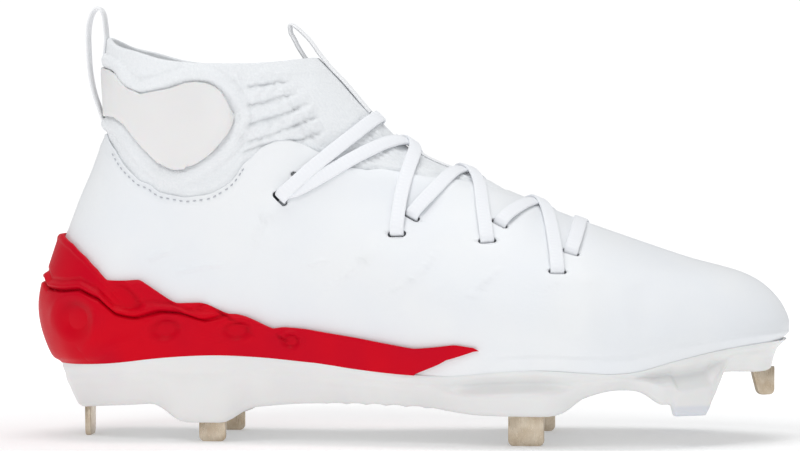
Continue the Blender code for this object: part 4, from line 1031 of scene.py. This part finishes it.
def laceStrand(name, start, crossing, end, overRidge, overEnds=(0.0, 0.0)):
    middle = (ridgeLevel(crossings[crossing]), 1.0)
    startSeat, endSeat = seat(*eyelets[start], layer["shell"]), seat(*eyelets[end], layer["shell"])
    path = tautPath(startSeat, middle, (0.0, 1.0)) + tautPath(middle, (endSeat[0], 2 - endSeat[1]), (1.0, 2.0))[1:]
    levels, turns = (np.array([spot[k] for spot in path]) for k in (0, 1))
    rest = layer["fit"] + layer["shell"] + (lace["gap"] + lace["thick"] / 2) * mm
    along = np.linspace(0, 1, len(path))
    lift = rest + mm * (overRidge * hump(along - 0.5, 0.16) + 0.35)
    lift -= lace["settle"] * mm * hump(along - 0.5, 0.22)
    lift += mm * (overEnds[0] * hump(along, 0.25) + overEnds[1] * hump(along - 1, 0.25))
    spine = onLast(levels, turns, lift)
    spine[1:-1] = (spine[:-2] + 2 * spine[1:-1] + spine[2:]) / 4
    across = unit(np.cross(lastNormal(levels, turns), np.gradient(spine, axis=0)))
    ends = []
    for slotName, inner, extra in ((start, False, overEnds[0]), (end, True, overEnds[1])):
        turned = slotFrame(slotName, inner)
        offsets = ((0.3, -2.6), (0.2, -1.5), (0.15, -0.4), (0.75, 0.65 + extra * 0.7), (2.6, 1.15 + extra))
        points = np.array([(turned @ Vector((slide * mm, 0, rise * mm)))[:] for slide, rise in offsets])
        ends.append((points, np.array(turned.to_3x3() @ Vector((0, 1, 0)))))
    (startPoints, startWide), (endPoints, endWide) = ends
    spine = np.concatenate([startPoints, spine[1:-1], endPoints[::-1]])
    if np.dot(across[1], startWide) < 0:
        startWide = -startWide
    if np.dot(across[-2], endWide) < 0:
        endWide = -endWide
    across = np.concatenate([np.tile(startWide, (5, 1)), across[1:-1], np.tile(endWide, (5, 1))])
    shape, length = ribbonShape(spine, across, lace["width"] * mm, lace["thick"] * mm, lace["columns"], lace["around"])
    return meshPiece(name, lace["columns"], lace["around"], shape, looks["lace"], (length, 2 * lace["width"] * mm))


laceRows = {
    "laceTop": ("lace_top_cross", (("top", "top", "top", 0.2, (1.0, 1.0)), ("top", "upper", "second", 0.0, (0.0, 0.0)),
                                   ("second", "upper", "top", 1.4, (0.0, 0.0)))),
    "laceMiddle": ("lace_middle_cross", (("third", "middle", "fourth", 0.0), ("fourth", "middle", "third", 1.4))),
    "laceLower": ("lace_lower_cross", (("fifth", "lower", "sixth", 0.0), ("sixth", "lower", "fifth", 1.4))),
    "laceToe": ("lace_toe_bar", (("toe", "toe", "toe", 0.0),)),
}
for name, (node, strandsOf) in laceRows.items():
    parts = [laceStrand(f"{name}{k}", *sizes) for k, sizes in enumerate(strandsOf)]
    fit(joined(name, parts, looks["lace"]), "lace", node)

# Pull loops: level, 1 outside the sock or -1 inside it, then outwards, forwards and upwards / rise
loop = {"width": 8.5, "thick": 1.3, "rise": 13.1, "apart": 0.1, "columns": 120, "around": 10}
heelRoute = (
    (0.800, 1, 0.00, 0.0, 0.00), (0.845, 1, 0.18, 0.0, 0.00), (0.885, 1, 0.33, 0.0, 0.00),
    (0.935, 1, 0.45, 0.0, 0.00), (0.975, 1, 0.53, 0.0, 0.00), (1.000, 1, 0.57, 0.0, 0.00),
    (1.000, 1, 0.53, 0.0, 0.42), (1.000, 1, 0.41, 0.0, 0.76), (1.000, 1, 0.25, 0.0, 0.89),
    (1.000, 1, 0.10, 0.0, 0.74), (1.000, 1, 0.03, 0.0, 0.36), (1.000, 1, 0.00, 0.0, 0.02),
    (0.965, 1, 0.00, 0.0, 0.00))
frontRoute = (
    (0.955, -1, -0.07, 0.00, 0.00), (0.995, -1, -0.08, -0.04, 0.02), (1.000, -1, -0.04, -0.36, 0.42),
    (1.000, -1, 0.00, -0.64, 0.84), (1.000, 1, 0.00, -0.86, 0.96), (1.000, 1, 0.00, -0.66, 0.84),
    (1.000, 1, 0.00, -0.30, 0.50), (1.000, 1, 0.00, -0.02, 0.12), (0.970, 1, 0.00, 0.00, 0.00),
    (0.940, 1, 0.00, 0.00, 0.00), (0.910, 1, 0.00, 0.00, 0.00), (0.875, 1, 0.00, 0.00, 0.00))


def pullLoop(name, route, turn):
    table = np.array(route)
    knots = np.column_stack([np.arange(len(table)), table])
    fine = np.linspace(0, len(table) - 1, 4 * len(table))
    level, side, out, forward, up = (smoothCurve(knots, k, fine) for k in range(1, 6))
    beside = (loop["thick"] / 2 + loop["apart"]) * mm
    rise = loop["rise"] * mm
    shift = np.interp(side, (-1, 1), (-layer["sock"] - beside, beside)) + out * rise
    spine = onLast(np.clip(level, 0, 1), np.full(len(fine), turn), shift)
    spine = spine + np.stack([forward, np.zeros_like(forward), up], axis=-1) * rise
    across = np.tile([0.0, 1.0, 0.0], (len(fine), 1))
    shape, length = ribbonShape(spine, across, loop["width"] * mm, loop["thick"] * mm, loop["columns"], loop["around"])
    return meshPiece(name, loop["columns"], loop["around"], shape, looks["webbing"], (length, 2 * loop["width"] * mm))


fit(pullLoop("heelPullLoop", heelRoute, 0.0), "webbing", "heel_pull_loop")
fit(pullLoop("frontPullLoop", frontRoute, 1.0), "webbing", "front_pull_loop")

# Tape down the ridge of the tongue, between the lace rows
tape = {"width": 7.0, "thick": 0.9, "lift": 1.35, "from": 0.475, "to": 0.600, "columns": 80, "around": 10}


def tongueTape():
    levels = np.linspace(ridgeLevel(tape["from"]), ridgeLevel(tape["to"]), 14)
    spine = onLast(levels, np.ones(14), np.full(14, tape["lift"] * mm))
    shape, length = ribbonShape(spine, np.tile([0.0, 1.0, 0.0], (14, 1)), tape["width"] * mm, tape["thick"] * mm,
                                tape["columns"], tape["around"])
    return meshPiece("tongueTape", tape["columns"], tape["around"], shape, looks["webbing"],
                     (length, 2 * tape["width"] * mm))


fit(tongueTape(), "webbing")

# Stitches along the shell's edge round each ankle, small capsules in one mesh
stitch = {"from": 0.105, "to": 0.283, "pitch": 2.7, "long": 1.5, "thick": 0.55, "below": 0.016, "lift": 0.84}


def stitches():
    bm = bmesh.new()
    spots = sorted(seat(x, z, layer["shell"])[1] for x, z in shellEdge if stitch["from"] <= x <= stitch["to"] + 0.01)
    fine = np.linspace(spots[0], spots[-1], 600)
    lift = np.full(600, layer["fit"] + layer["shell"] * stitch["lift"])
    for turns in (fine, 2 - fine):
        line = onLast(shellTop(turns) - stitch["below"], turns, lift)
        run = np.concatenate([[0], np.cumsum(np.linalg.norm(np.diff(line, axis=0), axis=1))])
        for place in np.arange(0, run[-1], stitch["pitch"] * mm):
            k = min(int(np.searchsorted(run, place)), 597)
            here, there = Vector(line[k]), Vector(line[k + 2])
            along = (there - here).normalized()
            out = Vector(lastNormal(float(shellTop(turns[k])) - stitch["below"], turns[k]))
            across = out.cross(along).normalized()
            turned = Matrix((along, across, out)).transposed().to_4x4()
            turned.translation = here + Vector(lastPlace)
            size = Matrix.Diagonal((stitch["long"] * mm / 2, stitch["thick"] * mm / 2, stitch["thick"] * mm / 2, 1.0))
            bmesh.ops.create_icosphere(bm, subdivisions=2, radius=1.0, matrix=turned @ size)
    return finishMesh("ankleStitches", bm, looks["thread"])


looks["thread"] = wovenCloth("greyThread", 0.4, "#b9bcc2", "#cfd1d6", 0.05)
fit(stitches(), "webbing")

# Spikes: stamped blades with round corners, eased edges and a thinner foot
spikes = {
    "spike_heel_back": (0.0656, 0.00, 12.0, 2.4, 0.338, 0.0, 90.0, 0.0),
    "spike_heel_outer": (0.2450, -0.26, 10.7, 2.2, 0.238, 0.0, 0.0, 0.0),
    "spike_heel_inner": (0.2450, 0.26, 10.7, 2.2, 0.238, 0.0, 0.0, 0.0),
    "spike_ball_outer": (0.6600, -0.34, 14.1, 2.2, 0.362, 0.0, 0.0, 0.0),
    "spike_ball_inner": (0.6600, 0.34, 14.1, 2.2, 0.362, 0.0, 0.0, 0.0),
    "spike_toe": (0.9630, 0.07, 11.0, 2.2, 0.834, 0.520, 35.0, 3.4),
}
blade = {"corner": 2.2, "ease": 0.35, "footThin": 0.9, "headIn": 0.6}


def spike(name, x, y, width, thick, head, foot, turn, taper):
    top, low = shoe["sole"] * head + blade["headIn"] * mm, shoe["sole"] * foot
    bm = bmesh.new()
    bmesh.ops.create_cube(bm, size=1.0)
    bmesh.ops.scale(bm, vec=(width * mm, thick * mm, top - low), verts=bm.verts)
    bmesh.ops.translate(bm, vec=(0, 0, (top + low) / 2), verts=bm.verts)
    for vert in bm.verts:
        if vert.co.z < (top + low) / 2:
            vert.co.y *= blade["footThin"]
            vert.co.x += taper * mm * (vert.co.x < 0)
    lower = [edge for edge in bm.edges if all(v.co.z < (top + low) / 2 for v in edge.verts)
             and abs(edge.verts[0].co.x - edge.verts[1].co.x) < 1e-6]
    bmesh.ops.bevel(bm, geom=lower, offset=blade["corner"] * mm, segments=8, profile=0.5, affect="EDGES", material=-1)
    rims = [edge for edge in bm.edges if edge.calc_face_angle(0.0) > 0.9]
    bmesh.ops.bevel(bm, geom=rims, offset=blade["ease"] * mm, segments=3, profile=0.5, affect="EDGES", material=-1)
    bmesh.ops.rotate(bm, verts=bm.verts, matrix=Matrix.Rotation(math.radians(turn), 3, "Z"))
    spot = Vector((x * shoe["length"], y * shoe["ball"], 0.0)) + Vector(lastPlace)
    bmesh.ops.translate(bm, vec=spot, verts=bm.verts)
    return finishMesh(name.title().replace("_", "") + "Blade", bm, looks["spike"], 30)


for node, sizes in spikes.items():
    fit(spike(node, *sizes), "spike", node)
print("laces, loops and spikes ready")

# Floor, light and air. The floor glows by itself, painted light: dimmer near the shoe so its shadow shows, brighter far
# off so it melts into the white air
floor = {"size": 30.0, "glow": 0.19, "farGlow": 0.68, "near": 0.10, "far": 0.60, "long": 0.55}
floorLook, floorTree, floorShader, floorPlace = newMaterial("glowingPaper", Roughness=0.9, Specular_IOR_Level=0.1)
floorShader.inputs["Base Color"].default_value = tint("#f2f2f2")
floorShader.inputs["Emission Color"].default_value = tint("#ffffff")
drawn = addNode(floorTree, "ShaderNodeMapping", {"Scale": (floor["long"], 1.0, 1.0)},
                {"Vector": floorPlace.outputs["Object"]})
away = addNode(floorTree, "ShaderNodeVectorMath", {"operation": "LENGTH"}, {0: drawn.outputs[0]})
# painted light: the floor's own glow, rising with distance from the shoe
glow = addNode(floorTree, "ShaderNodeMapRange",
               {1: floor["near"], 2: floor["far"], 3: floor["glow"], 4: floor["farGlow"]}, {0: away.outputs[1]})
floorTree.links.new(glow.outputs[0], floorShader.inputs["Emission Strength"])
bm = bmesh.new()
bmesh.ops.create_grid(bm, x_segments=1, y_segments=1, size=floor["size"] / 2)
floorMesh = bpy.data.meshes.new("floor")
bm.to_mesh(floorMesh)
bm.free()
floorMesh.materials.append(floorLook)
floorObject = bpy.data.objects.new("floor", floorMesh)
bpy.context.scene.collection.objects.link(floorObject)

# Softboxes: spot, size and power in watts, all aimed at the shoe
softboxes = {
    "keyBox": ((-0.6, -1.4, 1.7), 0.8, 8.0),
    "topBox": ((0.1, 0.05, 1.9), 1.1, 13.0),
    "frontBox": ((0.2, -2.4, 0.8), 1.4, 5.0),
}
for name, (spot, size, power) in softboxes.items():
    light = bpy.data.lights.new(name, "AREA")
    light.energy, light.size = power, size
    lamp = bpy.data.objects.new(name, light)
    lamp.location = spot
    lamp.rotation_euler = (Vector((0, 0, 0.06)) - Vector(spot)).to_track_quat("-Z", "Y").to_euler()
    bpy.context.scene.collection.objects.link(lamp)

# Air: white where it is seen, softer where it lights the shoe
sky = {"lighting": 0.45, "seen": 1.05}
world = bpy.data.worlds.new("studio")
bpy.context.scene.world = world
world.use_nodes = True
airTree = world.node_tree
air = airTree.nodes["Background"]
air.inputs["Color"].default_value = tint("#fdfeff")
seen = addNode(airTree, "ShaderNodeLightPath")
strength = addNode(airTree, "ShaderNodeMapRange", {3: sky["lighting"], 4: sky["seen"]},
                   {0: seen.outputs["Is Camera Ray"]})
airTree.links.new(strength.outputs[0], air.inputs["Strength"])
bpy.context.scene.view_settings.view_transform = "Standard"
